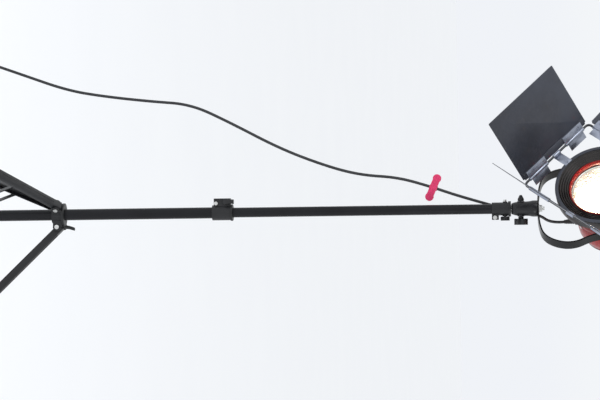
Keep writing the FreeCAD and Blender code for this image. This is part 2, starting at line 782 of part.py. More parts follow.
cover_radius = housing_radius - 11
screw_radius = read("focus_screw_radius")
keep("rear_cover", less(
    turned(
        (0, -housing_back - 0.2), (cover_radius, -housing_back - 0.2), (cover_radius, -housing_back - 3),
        (cover_radius - 4, -housing_back - 7), (0, -housing_back - 7),
    ),
    rod(screw_radius + 0.08, 20, (0, 0, -housing_back - 12)),
    block((-9.2, -41.2, -housing_back - 12), (9.2, -26.8, -housing_back + 2)),
    rod(2.55, 10, (-25, 0, -housing_back - 4), (0, 0, 1)),
    rod(2.55, 10, (25, 0, -housing_back - 4), (0, 0, 1)),
), head_frame)

# The black front ring has ribs round its face, like a stepped cone.
rib_count = 5
rib_pitch = (ring_radius - ring_opening) / rib_count
ring_face = []
for rib in range(rib_count):
    crest = ring_radius - rib_pitch * rib
    height = ring_front - 1.6 * rib
    ring_face += [
        (crest, height - 2.2), (crest - 1.2, height),
        (crest - rib_pitch * 0.55, height), (crest - rib_pitch * 0.7, height - 2.2),
    ]
keep("front_ring", turned(
    (ring_radius, dish_rim - 9), *ring_face,
    (ring_opening, ring_front - 11), (ring_opening, dish_rim + 0.4), (dish_radius + 0.3, dish_rim + 0.4),
    (dish_radius + 0.3, dish_rim - 9),
), head_frame)

# The reflector is a dish whose depth grows with the square of its radius.
DISH_BACK = -8.0
dish_steps = 9
dish_face = []
for step in range(dish_steps + 1):
    radius = reflector_throat + (reflector_radius - reflector_throat) * (step / dish_steps)
    fraction = (float(radius) ** 2 - float(reflector_throat) ** 2) / (
        float(reflector_radius) ** 2 - float(reflector_throat) ** 2)
    dish_face.append((radius, DISH_BACK + (reflector_front - DISH_BACK) * fraction))
dish_outside = [
    (radius + reflector_sheet, height - reflector_sheet * 0.6) for radius, height in reversed(dish_face)
]
lamp_length = read("lamp_length")
lamp_radius = read("lamp_radius")
LAMP_STATION = 20.0
window_near = lamp_length / 2 - 1.5
keep("reflector", less(
    turned(*dish_face, *dish_outside),
    block((window_near, -9.6, DISH_BACK - 4), (window_near + 25, 9.6, 45)),
    block((-window_near - 25, -9.6, DISH_BACK - 4), (-window_near, 9.6, 45)),
), head_frame)

# The halogen tube lies across the beam between two sprung ceramic ends.
keep("lamp_tube", joined(
    rod(lamp_radius, lamp_length - 12, (-lamp_length / 2 + 6, 0, LAMP_STATION), (1, 0, 0)),
    rod(3.2, lamp_length, (-lamp_length / 2, 0, LAMP_STATION), (1, 0, 0)),
), head_frame)


def lamp_end(side):
    near = lamp_length / 2 + 0.2
    if side > 0:
        return block((near, -8, LAMP_STATION - 7), (near + 12, 8, LAMP_STATION + 7))
    return block((-near - 12, -8, LAMP_STATION - 7), (-near, 8, LAMP_STATION + 7))


def carriage_post(side):
    near = lamp_length / 2 + 4
    low = near if side > 0 else -near - 6
    return block((low, -5, -21), (low + 6, 5, LAMP_STATION - 7.1))


keep("lamp_holders", grouped(*mirrored_ends(lamp_end)), head_frame)
GUIDE_STATION = 25.0
keep("lamp_carriage", less(
    joined(
        block((-lamp_length / 2 - 14, -10, -26), (lamp_length / 2 + 14, 10, -20)),
        *mirrored_ends(carriage_post),
    ),
    rod(screw_radius + 0.3, 20, (0, 0, -33)),
    rod(2.5 + 0.3, 20, (GUIDE_STATION, 0, -33)),
    rod(2.5 + 0.3, 20, (-GUIDE_STATION, 0, -33)),
), head_frame)
guide_rods = [rod(2.5, housing_back - 10, (side * GUIDE_STATION, 0, -housing_back - 3)) for side in (-1, 1)]
keep("focus_knob", joined(
    rod(screw_radius, housing_back - 2, (0, 0, -housing_back - 14)),
    rod(13, 12, (0, 0, -housing_back - 20)),
    *[rod(2.6, 12, (12 * math.cos(angle), 12 * math.sin(angle), -housing_back - 20))
      for angle in (math.pi * step / 6 for step in range(12))],
), head_frame)
keep("rocker_switch", joined(
    block((-8.6, -40, -housing_back - 6), (8.6, -28, -housing_back + 1)),
    rod(7, 17.2, (-8.6, -34, -housing_back - 3), (1, 0, 0)),
), head_frame)

# A grip arches over the back of the head.
handle_path = tangent_path([
    (0, housing_radius + rise, station)
    for rise, station in ((-6, -50), (20, -54), (30, -84), (18, -118), (-14, -122), (-28, -88))
])
handle_bar = shaped(swept_round(handle_path, 7))
keep("rear_handle", less(
    joined(
        handle_bar,
        block((-12, housing_radius - 12, -60), (12, housing_radius + 3, -40)),
        block((-10, housing_radius - 36, -93), (10, housing_radius - 20, -80)),
    ),
    turned(
        (0, SHELL_SPLIT), (housing_radius + 0.1, SHELL_SPLIT), (housing_radius - 1.9, -55),
        (housing_radius - 10.9, -housing_back), (housing_radius - 10.9, -housing_back - 3),
        (housing_radius - 14.9, -housing_back - 7.1), (0, -housing_back - 7.1),
    ),
), head_frame)


def shell_screw(degrees):
    out = Vector(math.cos(math.radians(degrees)), math.sin(math.radians(degrees)), 0)
    start = out * (float(housing_radius) + 0.5)
    return rod(3.5, 2.0, (start.x, start.y, SHELL_SPLIT + 7), tuple(out))


shell_screws = [shell_screw(degrees) for degrees in (55, 125, 235, 305)]


def tilt_bolt(side):
    inside = float(housing_radius) - float(housing_wall)
    return joined(
        rod(9, 3, (side * (inside - 4.2), 0, 0), (side, 0, 0)),
        rod(tilt_bolt_radius, float(yoke_arm_reach) + 14 - inside,
            (side * (inside - 3), 0, 0), (side, 0, 0)),
        rod(11, float(yoke_arm_reach) - half_sheet - float(housing_radius) - 1.7,
            (side * (float(housing_radius) + 1.4), 0, 0), (side, 0, 0)),
    )


tilt_cap_start = yoke_arm_reach + yoke_sheet / 2 + 0.4
tilt_cap = less(
    rod(10, 8, (-tilt_cap_start, 0, 0), (-1, 0, 0)),
    rod(tilt_bolt_radius + 0.05, 60, (-tilt_cap_start - 5.8 + 60, 0, 0), (-1, 0, 0)),
)
keep("head_fasteners", grouped(*mirrored_ends(tilt_bolt), tilt_cap, *shell_screws, *guide_rods), head_frame)
keep("tilt_knob", less(
    joined(
        rod(8, 7, (tilt_cap_start, 0, 0), (1, 0, 0)),
        rod(13, 14, (tilt_cap_start + 6, 0, 0), (1, 0, 0)),
        *[rod(4, 14, (tilt_cap_start + 6, 12 * math.cos(angle), 12 * math.sin(angle)), (1, 0, 0))
          for angle in (math.pi * step / 3 for step in range(6))],
    ),
    rod(tilt_bolt_radius + 0.05, 60, (tilt_cap_start + 12 - 60, 0, 0), (1, 0, 0)),
), head_frame)

# The cord leaves downwards through a gland with a tapered rubber sleeve.
cord_radius = read("cord_radius")
gland_root = housing_radius - 12
gland_foot = float(housing_radius) + 28
keep("cable_gland", less(
    joined(
        rod(6, 22, (0, -gland_root, GLAND_STATION), (0, -1, 0)),
        rod(9, 5, (0, -gland_root - 11.2, GLAND_STATION), (0, -1, 0)),
        cone(7, 4.6, gland_foot - gland_root - 16, (0, -gland_root - 16, GLAND_STATION), (0, -1, 0)),
    ),
    rod(cord_radius, 50, (0, -gland_root + 2, GLAND_STATION), (0, -1, 0)),
), head_frame)

# ---------------------------------------------------------------- barn doors
# The door frame's own axes are turned about the beam, so its corners point down and sideways.
DOOR_TURN = -43.0
door_frame_place = head_frame.multiply(
    Placement(Vector(0, 0, float(ring_front)), Rotation(Vector(0, 0, 1), DOOR_TURN)))
rod_radius = read("rod_radius")
door_half_width = ring_radius
door_half_height = ring_radius + read("door_overhang")
rod_advance = read("rod_advance")
leaf_depth = read("leaf_depth")
leaf_sheet = read("leaf_sheet")

door_ring = less(
    rod(ring_radius - 0.5, 2, (0, 0, 0.4)),
    rod(ring_radius - 8, 4, (0, 0, -1)),
)
rod_rise = rod_advance + 3
BEND_RADIUS = 9.0


def rounded_rectangle(half_x, half_y, height, bend):
    """A closed loop of four straight runs and four quarter bends."""
    edges = []
    for quarter in range(4):
        heading = math.radians(90 * quarter)
        flip = quarter % 2
        along = half_x if flip else half_y
        reach = half_y if flip else half_x
        out = Vector(math.cos(heading), math.sin(heading), 0)
        side = Vector(-math.sin(heading), math.cos(heading), 0)
        level = Vector(0, 0, height)
        run_start = out * reach - side * (along - bend) + level
        run_end = out * reach + side * (along - bend) + level
        centre = run_end - out * bend
        middle = centre + (out + side).normalize() * bend
        edges.append(Part.LineSegment(run_start, run_end).toShape())
        edges.append(Part.Arc(run_end, middle, centre + side * bend).toShape())
    return Part.Wire(edges)


frame_loop = rounded_rectangle(float(door_half_width), float(door_half_height), float(rod_rise), BEND_RADIUS)
frame_rod = shaped(swept_round(frame_loop, rod_radius))


def bracket(sx, sy):
    """A flat clip from the door ring out to the rod, and the eye that it ends in."""
    reach = float(door_half_width) if sx else float(door_half_height)
    root = float(ring_radius) - 6
    if sx:
        strap = block((min(sx * root, sx * reach), -10, 1.0), (max(sx * root, sx * reach), 10, 2.4))
        web = block((sx * reach - 1.2, -10, 1.0), (sx * reach + 1.2, 10, float(rod_rise)))
        eye = rod(rod_radius + 1.8, 20, (sx * reach, -10, float(rod_rise)), (0, 1, 0))
    else:
        strap = block((-10, min(sy * root, sy * reach), 1.0), (10, max(sy * root, sy * reach), 2.4))
        web = block((-10, sy * reach - 1.2, 1.0), (10, sy * reach + 1.2, float(rod_rise)))
        eye = rod(rod_radius + 1.8, 20, (-10, sy * reach, float(rod_rise)), (1, 0, 0))
    return [strap, web, eye]


clips = [piece for sides in ((1, 0), (-1, 0), (0, 1), (0, -1)) for piece in bracket(*sides)]
keep("door_frame", joined(frame_rod, door_ring, *clips), door_frame_place)

LEAVES = (
    ("side_leaf_near", 0, -1, 28.0),
    ("wide_leaf_near", 1, 0, 25.0),
    ("side_leaf_far", 0, 1, 40.0),
    ("wide_leaf_far", -1, 0, 85.0),
)
knuckle_radius = rod_radius + 0.08 + read("knuckle_wall")
leaf_end_gap = read("leaf_end_gap")


def leaf_sheet_metal(half):
    """The leaf in its own frame: hinge along X, sheet out along +Y, beam side +Z."""
    return joined(
        block((-half, 9, -leaf_sheet / 2), (half, leaf_depth, leaf_sheet / 2)),
        block((-half + 4, knuckle_radius + 1.4, leaf_sheet / 2 - 0.1), (half - 4, 22, leaf_sheet / 2 + 1.1)),
    )


def leaf_hinges(half):
    """Two bright hinge plates wrapped round the rod, each with a tail beyond it."""
    plates = []
    for side in (-1, 1):
        low = (half - 72) if side > 0 else -half + 14
        high = low + 58
        plates.append(less(
            joined(
                rod(knuckle_radius, 58, (low, 0, 0), (1, 0, 0)),
                block((low, 0, leaf_sheet / 2 + 1.2), (high, 20, leaf_sheet / 2 + 2.4)),
                block((low + 5, -20, leaf_sheet / 2 + 1.2), (high - 5, 0, leaf_sheet / 2 + 2.4)),
            ),
            rod(rod_radius + 0.08, 80, (low - 10, 0, 0), (1, 0, 0)),
        ))
    return grouped(*plates)


for name, sx, sy, opening in LEAVES:
    reach = float(door_half_width if sx else door_half_height)
    half = (door_half_height if sx else door_half_width) - leaf_end_gap + (1.5 if sx else 0)
    outward = Vector(sx, sy, 0)
    swing = math.radians(opening)
    sheet_way = outward * math.sin(swing) + Vector(0, 0, 1) * math.cos(swing)
    normal = outward * -math.cos(swing) + Vector(0, 0, 1) * math.sin(swing)
    hinge_way = sheet_way.cross(normal)
    turn = Rotation(hinge_way, sheet_way, normal, "XYZ")
    leaf_place = door_frame_place.multiply(Placement(outward * reach + Vector(0, 0, float(rod_rise)), turn))
    keep(name, leaf_sheet_metal(half), leaf_place)
    keep(f"{name}_hinges", leaf_hinges(half), leaf_place)

# ---------------------------------------------------------------- mains cord
gland_mouth = head_frame.multVec(Vector(0, -gland_foot, GLAND_STATION))
gland_away = head_turn.multVec(Vector(0, -1, 0))
CORD_UPPER = [
    tuple(gland_mouth),
    tuple(gland_mouth + gland_away * 30),
    (13.0, 28.5, 1597.0),
    (7.5, 26.0, 1567.0),
]
CORD_MIDDLE = [
    (7.5, 26.0, 1567.0),
    (2.0, 23.5, 1537.0),
    (-4.18, 24.06, 1508.0),
    (-13.0, 24.5, 1478.0),
]
CORD_LOWER = [
    (-13.0, 24.5, 1478.0),
    (-30.0, 25.35, 1420.2),
    (-52.0, 29.0, 1358.0),
    (-74.0, 31.0, 1284.0),
    (-80.0, 34.0, 1203.0),
    (-100.0, 36.0, 1128.0),
    (-142.0, 39.0, 1020.0),
    (-206.0, 43.0, 901.0),
    (-247.0, 46.0, 815.0),
    (-255.0, 49.0, 725.0),
    (-268.0, 53.0, 620.0),
    (-284.0, 55.0, 530.0),
    (-322.0, 58.0, 425.0),
    (-356.0, 61.0, 330.0),
    (-380.0, 64.0, 235.0),
    (-398.0, 67.0, 150.0),
    (-412.0, 70.0, 86.0),
    (-432.0, 74.0, 38.0),
    (-468.0, 79.0, 9.5),
    (-520.0, 86.0, 3.4),
]
cord_runs = {"cord_upper": CORD_UPPER, "cord_middle": CORD_MIDDLE, "cord_lower": CORD_LOWER}
for name, points in cord_runs.items():
    arc_radii = []
    route = tangent_path(points, radii=arc_radii)
    print(name, "length", round(route.Length, 1), "radii", [round(radius) for radius in arc_radii])
    keep(name, shaped(swept_round(route, cord_radius)))
    lower_route = route

# The spare length is wound in a flat coil on the floor, and ends in the plug.
coil_radius = read("coil_radius")
coil_half = cord_radius * read("coil_turns_across")
coil_entry = Vector(*CORD_LOWER[-1])
entry_way = (coil_entry - Vector(*CORD_LOWER[-2]))
entry_way.z = 0
entry_way.normalize()
coil_centre = coil_entry + Vector(entry_way.y, -entry_way.x, 0) * float(coil_radius)
coil_height = cord_radius * 2 * read("coil_turns_high")
keep("cord_coil", less(
    rod(coil_radius + coil_half, coil_height, (coil_centre.x, coil_centre.y, 0.1)),
    rod(coil_radius - coil_half, 80, (coil_centre.x, coil_centre.y, -10)),
))
print("coil centre", tuple(round(value, 2) for value in coil_centre))
CORD_TAIL = [
    (-554.5, 121.7, 16.3),
    (-555.0, 156.0, 13.5),
    (-558.0, 190.0, 8.6),
    (-565.0, 223.0, 8.6),
]
keep("cord_tail", shaped(swept_round(tangent_path(CORD_TAIL), cord_radius)))

# The strap tag is folded over the cord, with a lobe either side.
TAG_STATION = 120
TAG_REACH = 12
stations = lower_route.discretize(Number=int(lower_route.Length))
tag_spot = stations[TAG_STATION]
cord_slope = (stations[TAG_STATION + TAG_REACH] - stations[TAG_STATION - TAG_REACH]).normalize()
tag_turn = Rotation(Vector(), Vector(0, -1, 0), cord_slope, "ZYX")
tag_frame = Placement(tag_spot, tag_turn)
TAG_LEAN = -5.0
tag_lobes = joined(
    block((-22, 3.6, -8), (22, 5.8, 8)),
    rod(9.5, 2.2, (-22, 3.6, 0), (0, 1, 0)),
    rod(9.5, 2.2, (22, 3.6, 0), (0, 1, 0)),
)
tag_lobes.Placement = Placement(Vector(), Rotation(Vector(0, 1, 0), TAG_LEAN))
keep("cord_tag", less(
    joined(rod(cord_radius + 2, 18, (0, 0, -9)), tag_lobes),
    rod(cord_radius + 0.4, 30, (0, 0, -15)),
), tag_frame)

# ---------------------------------------------------------------- plug
plug_start = Vector(*CORD_TAIL[-1])
plug_way = (plug_start - Vector(*CORD_TAIL[-2])).normalize()
plug_frame = Placement(plug_start, Rotation(plug_way, Vector(), Vector(0, 0, 1), "XZY"))
keep("mains_plug", grouped(
    joined(
        cone(4.6, 6.5, 22, (0, 0, 0), (1, 0, 0)),
        block((20, -12.5, -8), (52, 12.5, 8)),
        rod(8, 32, (20, -12.5, 0), (1, 0, 0)),
        rod(8, 32, (20, 12.5, 0), (1, 0, 0)),
    ),
    rod(2.4, 19, (52, -9.5, 0), (1, 0, 0)),
    rod(2.4, 19, (52, 9.5, 0), (1, 0, 0)),
), plug_frame)

# ---------------------------------------------------------------- check and write
doc.recompute()
faulty = [o.Name for o in doc.Objects if "Invalid" in o.State or "Error" in o.State]
if faulty:
    raise ValueError(f"objects that failed: {faulty}")
for name, thing in nodes.items():
    if thing.Shape.isNull() or not thing.Shape.isValid() or not thing.Shape.Solids:
        raise ValueError(f"{name} has no valid solid")
    thing.Shape.exportStep(f"parts/{name}.step")
print(len(nodes), "pieces")
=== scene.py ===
import json
import math
import bmesh
import bpy
from mathutils import Matrix, Vector


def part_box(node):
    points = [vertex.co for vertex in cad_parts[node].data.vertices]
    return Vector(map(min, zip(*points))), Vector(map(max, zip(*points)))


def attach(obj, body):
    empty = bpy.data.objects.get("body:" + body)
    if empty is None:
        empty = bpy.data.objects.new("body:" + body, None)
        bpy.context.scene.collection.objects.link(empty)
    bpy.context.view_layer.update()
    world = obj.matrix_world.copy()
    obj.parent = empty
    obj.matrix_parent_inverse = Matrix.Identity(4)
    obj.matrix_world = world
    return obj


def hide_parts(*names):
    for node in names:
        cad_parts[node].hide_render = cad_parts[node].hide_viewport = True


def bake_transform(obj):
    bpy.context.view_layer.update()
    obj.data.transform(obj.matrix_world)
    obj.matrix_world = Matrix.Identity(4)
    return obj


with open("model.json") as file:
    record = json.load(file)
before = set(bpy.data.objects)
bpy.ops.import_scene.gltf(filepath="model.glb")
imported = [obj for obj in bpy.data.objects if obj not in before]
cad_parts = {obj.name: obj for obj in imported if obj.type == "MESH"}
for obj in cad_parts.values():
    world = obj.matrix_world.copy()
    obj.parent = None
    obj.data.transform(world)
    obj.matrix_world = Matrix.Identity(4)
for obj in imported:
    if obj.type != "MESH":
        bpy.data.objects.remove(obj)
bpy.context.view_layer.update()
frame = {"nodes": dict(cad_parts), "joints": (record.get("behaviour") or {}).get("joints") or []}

# ---------------------------------------------------------------- floor, light and camera
# The lamp stands on a pale studio floor in soft, nearly shadowless light. A big soft box
# hangs to the left of the camera and a smaller one to the right, as in a product studio.
# The camera lies on its side, so that the column runs along the picture.
mm = 0.001
world = bpy.data.worlds.new("Studio")
bpy.context.scene.world = world
bpy.context.scene.view_settings.view_transform = "Standard"
world.use_nodes = True
sky = world.node_tree.nodes["Background"]
sky.inputs["Strength"].default_value = 0.95
sky_way = world.node_tree.nodes.new("ShaderNodeTexCoord")
sky_parts = world.node_tree.nodes.new("ShaderNodeSeparateXYZ")
sky_fade = world.node_tree.nodes.new("ShaderNodeValToRGB")
sky_fade.color_ramp.elements[0].position = 0.0
sky_fade.color_ramp.elements[0].color = (0.918, 0.942, 0.985, 1)
sky_fade.color_ramp.elements[1].position = 0.06
sky_fade.color_ramp.elements[1].color = (0.975, 0.995, 1.0, 1)
world.node_tree.links.new(sky_way.outputs["Generated"], sky_parts.inputs[0])
world.node_tree.links.new(sky_parts.outputs["Z"], sky_fade.inputs["Fac"])
world.node_tree.links.new(sky_fade.outputs["Color"], sky.inputs["Color"])

bpy.ops.mesh.primitive_circle_add(vertices=96, radius=40, fill_type="NGON", location=(0, 0, -0.0005))
floor = bpy.context.object
floor.name = "studio_floor"
floor_paint = bpy.data.materials.new("pale_floor")
floor_paint.use_nodes = True
nodes, links = floor_paint.node_tree.nodes, floor_paint.node_tree.links
mottle = nodes.new("ShaderNodeTexNoise")
mottle.inputs["Scale"].default_value = 1.5
tone = nodes.new("ShaderNodeValToRGB")
tone.color_ramp.elements[0].color = (0.93, 0.935, 0.965, 1)
tone.color_ramp.elements[1].color = (0.955, 0.96, 0.985, 1)
where = nodes.new("ShaderNodeTexCoord")
links.new(where.outputs["Object"], mottle.inputs["Vector"])
links.new(mottle.outputs["Fac"], tone.inputs["Fac"])
links.new(tone.outputs["Color"], nodes["Principled BSDF"].inputs["Base Color"])
nodes["Principled BSDF"].inputs["Roughness"].default_value = 0.9
nodes["Principled BSDF"].inputs["Specular IOR Level"].default_value = 0.1
floor.data.materials.append(floor_paint)


def soft_box(name, spot, target, size, power, colour):
    lamp = bpy.data.lights.new(name, "AREA")
    lamp.size = size
    lamp.energy = power
    lamp.color = colour
    holder = bpy.data.objects.new(name, lamp)
    bpy.context.scene.collection.objects.link(holder)
    aim_way = Vector(target) - Vector(spot)
    holder.matrix_world = Matrix.Translation(spot) @ aim_way.to_track_quat("-Z", "Y").to_matrix().to_4x4()


soft_box("soft_box_left", (-3.2, -3.0, 3.2), (0, 0, 1.5), 1.8, 60, (0.93, 0.96, 1.0))
soft_box("soft_box_right", (2.8, -2.6, 2.4), (0, 0, 1.2), 1.2, 30, (0.95, 0.97, 1.0))

camera_spot = Vector((0, -5.0, 1.6))
camera_aim = Vector((-0.0261, 0, 1.0666))
camera_lean = math.radians(-0.807)
ahead = (camera_aim - camera_spot).normalized()
level = ahead.cross(Vector((0, 0, 1))).normalized()
rise = level.cross(ahead)
across = math.cos(camera_lean) * level + math.sin(camera_lean) * rise
upward = math.cos(camera_lean) * rise - math.sin(camera_lean) * level
camera = bpy.data.objects.new("camera", bpy.data.cameras.new("camera"))
bpy.context.scene.collection.objects.link(camera)
camera.data.sensor_width = 36
camera.data.lens = 134.9
camera_turn = Matrix((upward, -across, -ahead)).transposed().to_4x4()
camera.matrix_world = Matrix.Translation(camera_spot) @ camera_turn
bpy.context.scene.camera = camera

# ---------------------------------------------------------------- mains cord
# Three-core flexible cord in a round black rubber jacket. It hangs from the gland under the
# housing, passes the clamps loosely, and falls to the floor, where the spare is wound up.


def node_group(name, sockets_in, sockets_out):
    """An empty effect with its named sockets, and its ends."""
    group = bpy.data.node_groups.new(name, "ShaderNodeTree")
    for label, kind, value in sockets_in:
        socket = group.interface.new_socket(name=label, in_out="INPUT", socket_type=kind)
        if value is not None:
            socket.default_value = value
    for label, kind in sockets_out:
        group.interface.new_socket(name=label, in_out="OUTPUT", socket_type=kind)
    return group, group.nodes.new("NodeGroupInput"), group.nodes.new("NodeGroupOutput")


def add_noise(tree, scale, vector, detail=3.0):
    noise = tree.nodes.new("ShaderNodeTexNoise")
    noise.inputs["Detail"].default_value = detail
    tree.links.new(vector, noise.inputs["Vector"])
    if isinstance(scale, bpy.types.NodeSocket):
        tree.links.new(scale, noise.inputs["Scale"])
    else:
        noise.inputs["Scale"].default_value = scale
    return noise.outputs["Fac"]


def add_math(tree, operation, first, second, clamp=False):
    node = tree.nodes.new("ShaderNodeMath")
    node.operation = operation
    node.use_clamp = clamp
    for socket, value in zip(node.inputs, (first, second)):
        if isinstance(value, bpy.types.NodeSocket):
            tree.links.new(value, socket)
        else:
            socket.default_value = value
    return node.outputs[0]


def add_mix(tree, share, first, second):
    """A colour between two colours."""
    mix = tree.nodes.new("ShaderNodeMix")
    mix.data_type = "RGBA"
    for label, value in (("Factor_Float", share), ("A_Color", first), ("B_Color", second)):
        socket = [s for s in mix.inputs if s.identifier == label][0]
        if isinstance(value, bpy.types.NodeSocket):
            tree.links.new(value, socket)
        else:
            socket.default_value = value
    return [s for s in mix.outputs if s.identifier == "Result_Color"][0]


def add_range(tree, value, low, high, to_low=0.0, to_high=1.0):
    node = tree.nodes.new("ShaderNodeMapRange")
    for label, figure in (("From Min", low), ("From Max", high), ("To Min", to_low), ("To Max", to_high)):
        if isinstance(figure, bpy.types.NodeSocket):
            tree.links.new(figure, node.inputs[label])
        else:
            node.inputs[label].default_value = figure
    tree.links.new(value, node.inputs["Value"])
    return node.outputs["Result"]


colour, number, direction = "NodeSocketColor", "NodeSocketFloat", "NodeSocketVector"
skin, skin_in, skin_out = node_group(
    "wandering_skin",
    [("Vector", direction, None), ("Light", colour, None), ("Dark", colour, None), ("Blotch", number, 14.0),
     ("Grain", number, 900.0), ("Gloss", number, 0.3), ("Matt", number, 0.5)],
    [("Colour", colour), ("Roughness", number), ("Height", number)],
)
blotch = add_noise(skin, skin_in.outputs["Blotch"], skin_in.outputs["Vector"], 4.0)
grain = add_noise(skin, skin_in.outputs["Grain"], skin_in.outputs["Vector"], 2.0)
both = add_math(skin, "ADD", add_math(skin, "MULTIPLY", blotch, 0.7), add_math(skin, "MULTIPLY", grain, 0.3))
share = add_range(skin, both, 0.35, 0.65)
skin_colour = add_mix(skin, share, skin_in.outputs["Dark"], skin_in.outputs["Light"])
skin.links.new(skin_colour, skin_out.inputs["Colour"])
skin.links.new(add_range(skin, both, 0.3, 0.7, skin_in.outputs["Gloss"], skin_in.outputs["Matt"]),
               skin_out.inputs["Roughness"])
skin.links.new(grain, skin_out.inputs["Height"])

# Mask of sharp corners: edge wear in the coatings, and a painted glint on the front ring's crests.
corner_wear_and_glint, corner_in, corner_out = node_group(
    "rubbed_corners",
    [("Vector", direction, None), ("Amount", number, 0.5), ("Scale", number, 60.0)],
    [("Mask", number)],
)
sharpness = add_range(corner_wear_and_glint, corner_wear_and_glint.nodes.new("ShaderNodeNewGeometry").outputs["Pointiness"], 0.58, 0.72)
patches = add_range(corner_wear_and_glint, add_noise(corner_wear_and_glint, corner_in.outputs["Scale"], corner_in.outputs["Vector"], 6.0), 0.42, 0.62)
worn_and_glinting = add_math(corner_wear_and_glint, "MULTIPLY", sharpness, patches)
corner_wear_and_glint.links.new(add_math(corner_wear_and_glint, "MULTIPLY", worn_and_glinting, corner_in.outputs["Amount"], True), corner_out.inputs["Mask"])

dusting, dust_in, dust_out = node_group(
    "settled_dust",
    [("Vector", direction, None), ("Amount", number, 0.3)],
    [("Mask", number)],
)
facing = dusting.nodes.new("ShaderNodeSeparateXYZ")
dusting.links.new(dusting.nodes.new("ShaderNodeNewGeometry").outputs["Normal"], facing.inputs[0])
upness = add_range(dusting, facing.outputs["Z"], 0.3, 1.0)
drift = add_range(dusting, add_noise(dusting, 45.0, dust_in.outputs["Vector"], 8.0), 0.35, 0.7)
settled = add_math(dusting, "MULTIPLY", upness, drift)
dust_mask = add_math(dusting, "MULTIPLY", settled, dust_in.outputs["Amount"], True)
dusting.links.new(dust_mask, dust_out.inputs["Mask"])


def new_finish(name):
    """A fresh material: its tree, its shader and the object's own coordinates."""
    material = bpy.data.materials.new(name)
    material.use_nodes = True
    tree = material.node_tree
    shader = tree.nodes["Principled BSDF"]
    return material, tree, shader, tree.nodes.new("ShaderNodeTexCoord").outputs["Object"]


def add_relief(tree, height, shader, depth, strength=1.0):
    bump = tree.nodes.new("ShaderNodeBump")
    bump.inputs["Distance"].default_value = depth
    bump.inputs["Strength"].default_value = strength
    tree.links.new(height, bump.inputs["Height"])
    tree.links.new(bump.outputs["Normal"], shader.inputs["Normal"])


def place_group(tree, group, vector, **values):
    node = tree.nodes.new("ShaderNodeGroup")
    node.node_tree = group
    tree.links.new(vector, node.inputs["Vector"])
    for label, value in values.items():
        node.inputs[label].default_value = value
    return node


def finish(name, light, dark, gloss, matt, blotch=14.0, grain=900.0, depth=0.00003,
           rub_amount=0.0, rub_colour=(0.3, 0.3, 0.31, 1), dust=0.0, **shader_values):
    """A coating or stock: two tones, a grain, rubbed corners and a little dust."""
    material, tree, shader, spot = new_finish(name)
    base = place_group(tree, skin, spot, Light=(*light, 1), Dark=(*dark, 1), Blotch=blotch, Grain=grain,
                       Gloss=gloss, Matt=matt)
    tint = base.outputs["Colour"]
    if rub_amount:
        worn = place_group(tree, corner_wear_and_glint, spot, Amount=rub_amount, Scale=60.0)
        tint = add_mix(tree, worn.outputs["Mask"], tint, rub_colour)
    if dust:
        dusted = place_group(tree, dusting, spot, Amount=dust)
        tint = add_mix(tree, dusted.outputs["Mask"], tint, (0.35, 0.34, 0.33, 1))
    tree.links.new(tint, shader.inputs["Base Color"])
    tree.links.new(base.outputs["Roughness"], shader.inputs["Roughness"])
    add_relief(tree, base.outputs["Height"], shader, depth)
    for label, value in shader_values.items():
        shader.inputs[label.replace("_", " ")].default_value = value
    return material


def coat(material, *names):
    """Gives CAD pieces their finish."""
    for name in names:
        piece = frame["nodes"][name]
        piece.data.materials.clear()
        piece.data.materials.append(material)


cord_radius = 3.25 * mm
cord_jacket = finish("cord_rubber", (0.016, 0.017, 0.020), (0.008, 0.008, 0.010), 0.36, 0.5,
                     blotch=25.0, grain=1500.0, depth=0.00006, dust=0.08)


def cord_line(name, points):
    """An open smooth line with the route's points as its control points."""
    line = bpy.data.curves.new(name, "CURVE")
    line.dimensions = "3D"
    line.resolution_u = 8
    spline = line.splines.new("NURBS")
    spline.points.add(len(points) - 1)
    for place, point in zip(spline.points, points):
        place.co = (*point, 1)
    spline.order_u = 3
    spline.use_endpoint_u = True
    piece = bpy.data.objects.new(name, line)
    bpy.context.scene.collection.objects.link(piece)
    return piece


def line_points(piece):
    """Points along the smooth line itself."""
    bare = bpy.data.meshes.new_from_object(piece)
    points = [vertex.co.copy() for vertex in bare.vertices]
    bpy.data.meshes.remove(bare)
    return points


def to_mesh(piece):
    """Turns a curve into the mesh that it draws."""
    bpy.ops.object.select_all(action="DESELECT")
    piece.select_set(True)
    bpy.context.view_layer.objects.active = piece
    bpy.ops.object.convert(target="MESH")
    return bpy.context.object


def jacketed(name, points):
    """A cord's jacket as a mesh, and the line that it follows."""
    piece = cord_line(name, points)
    path = line_points(piece)
    piece.data.bevel_depth = cord_radius
    piece.data.bevel_resolution = 4
    piece.data.use_fill_caps = True
    piece = to_mesh(piece)
    bpy.ops.object.shade_smooth()
    piece.data.materials.clear()
    piece.data.materials.append(cord_jacket)
    return piece, path


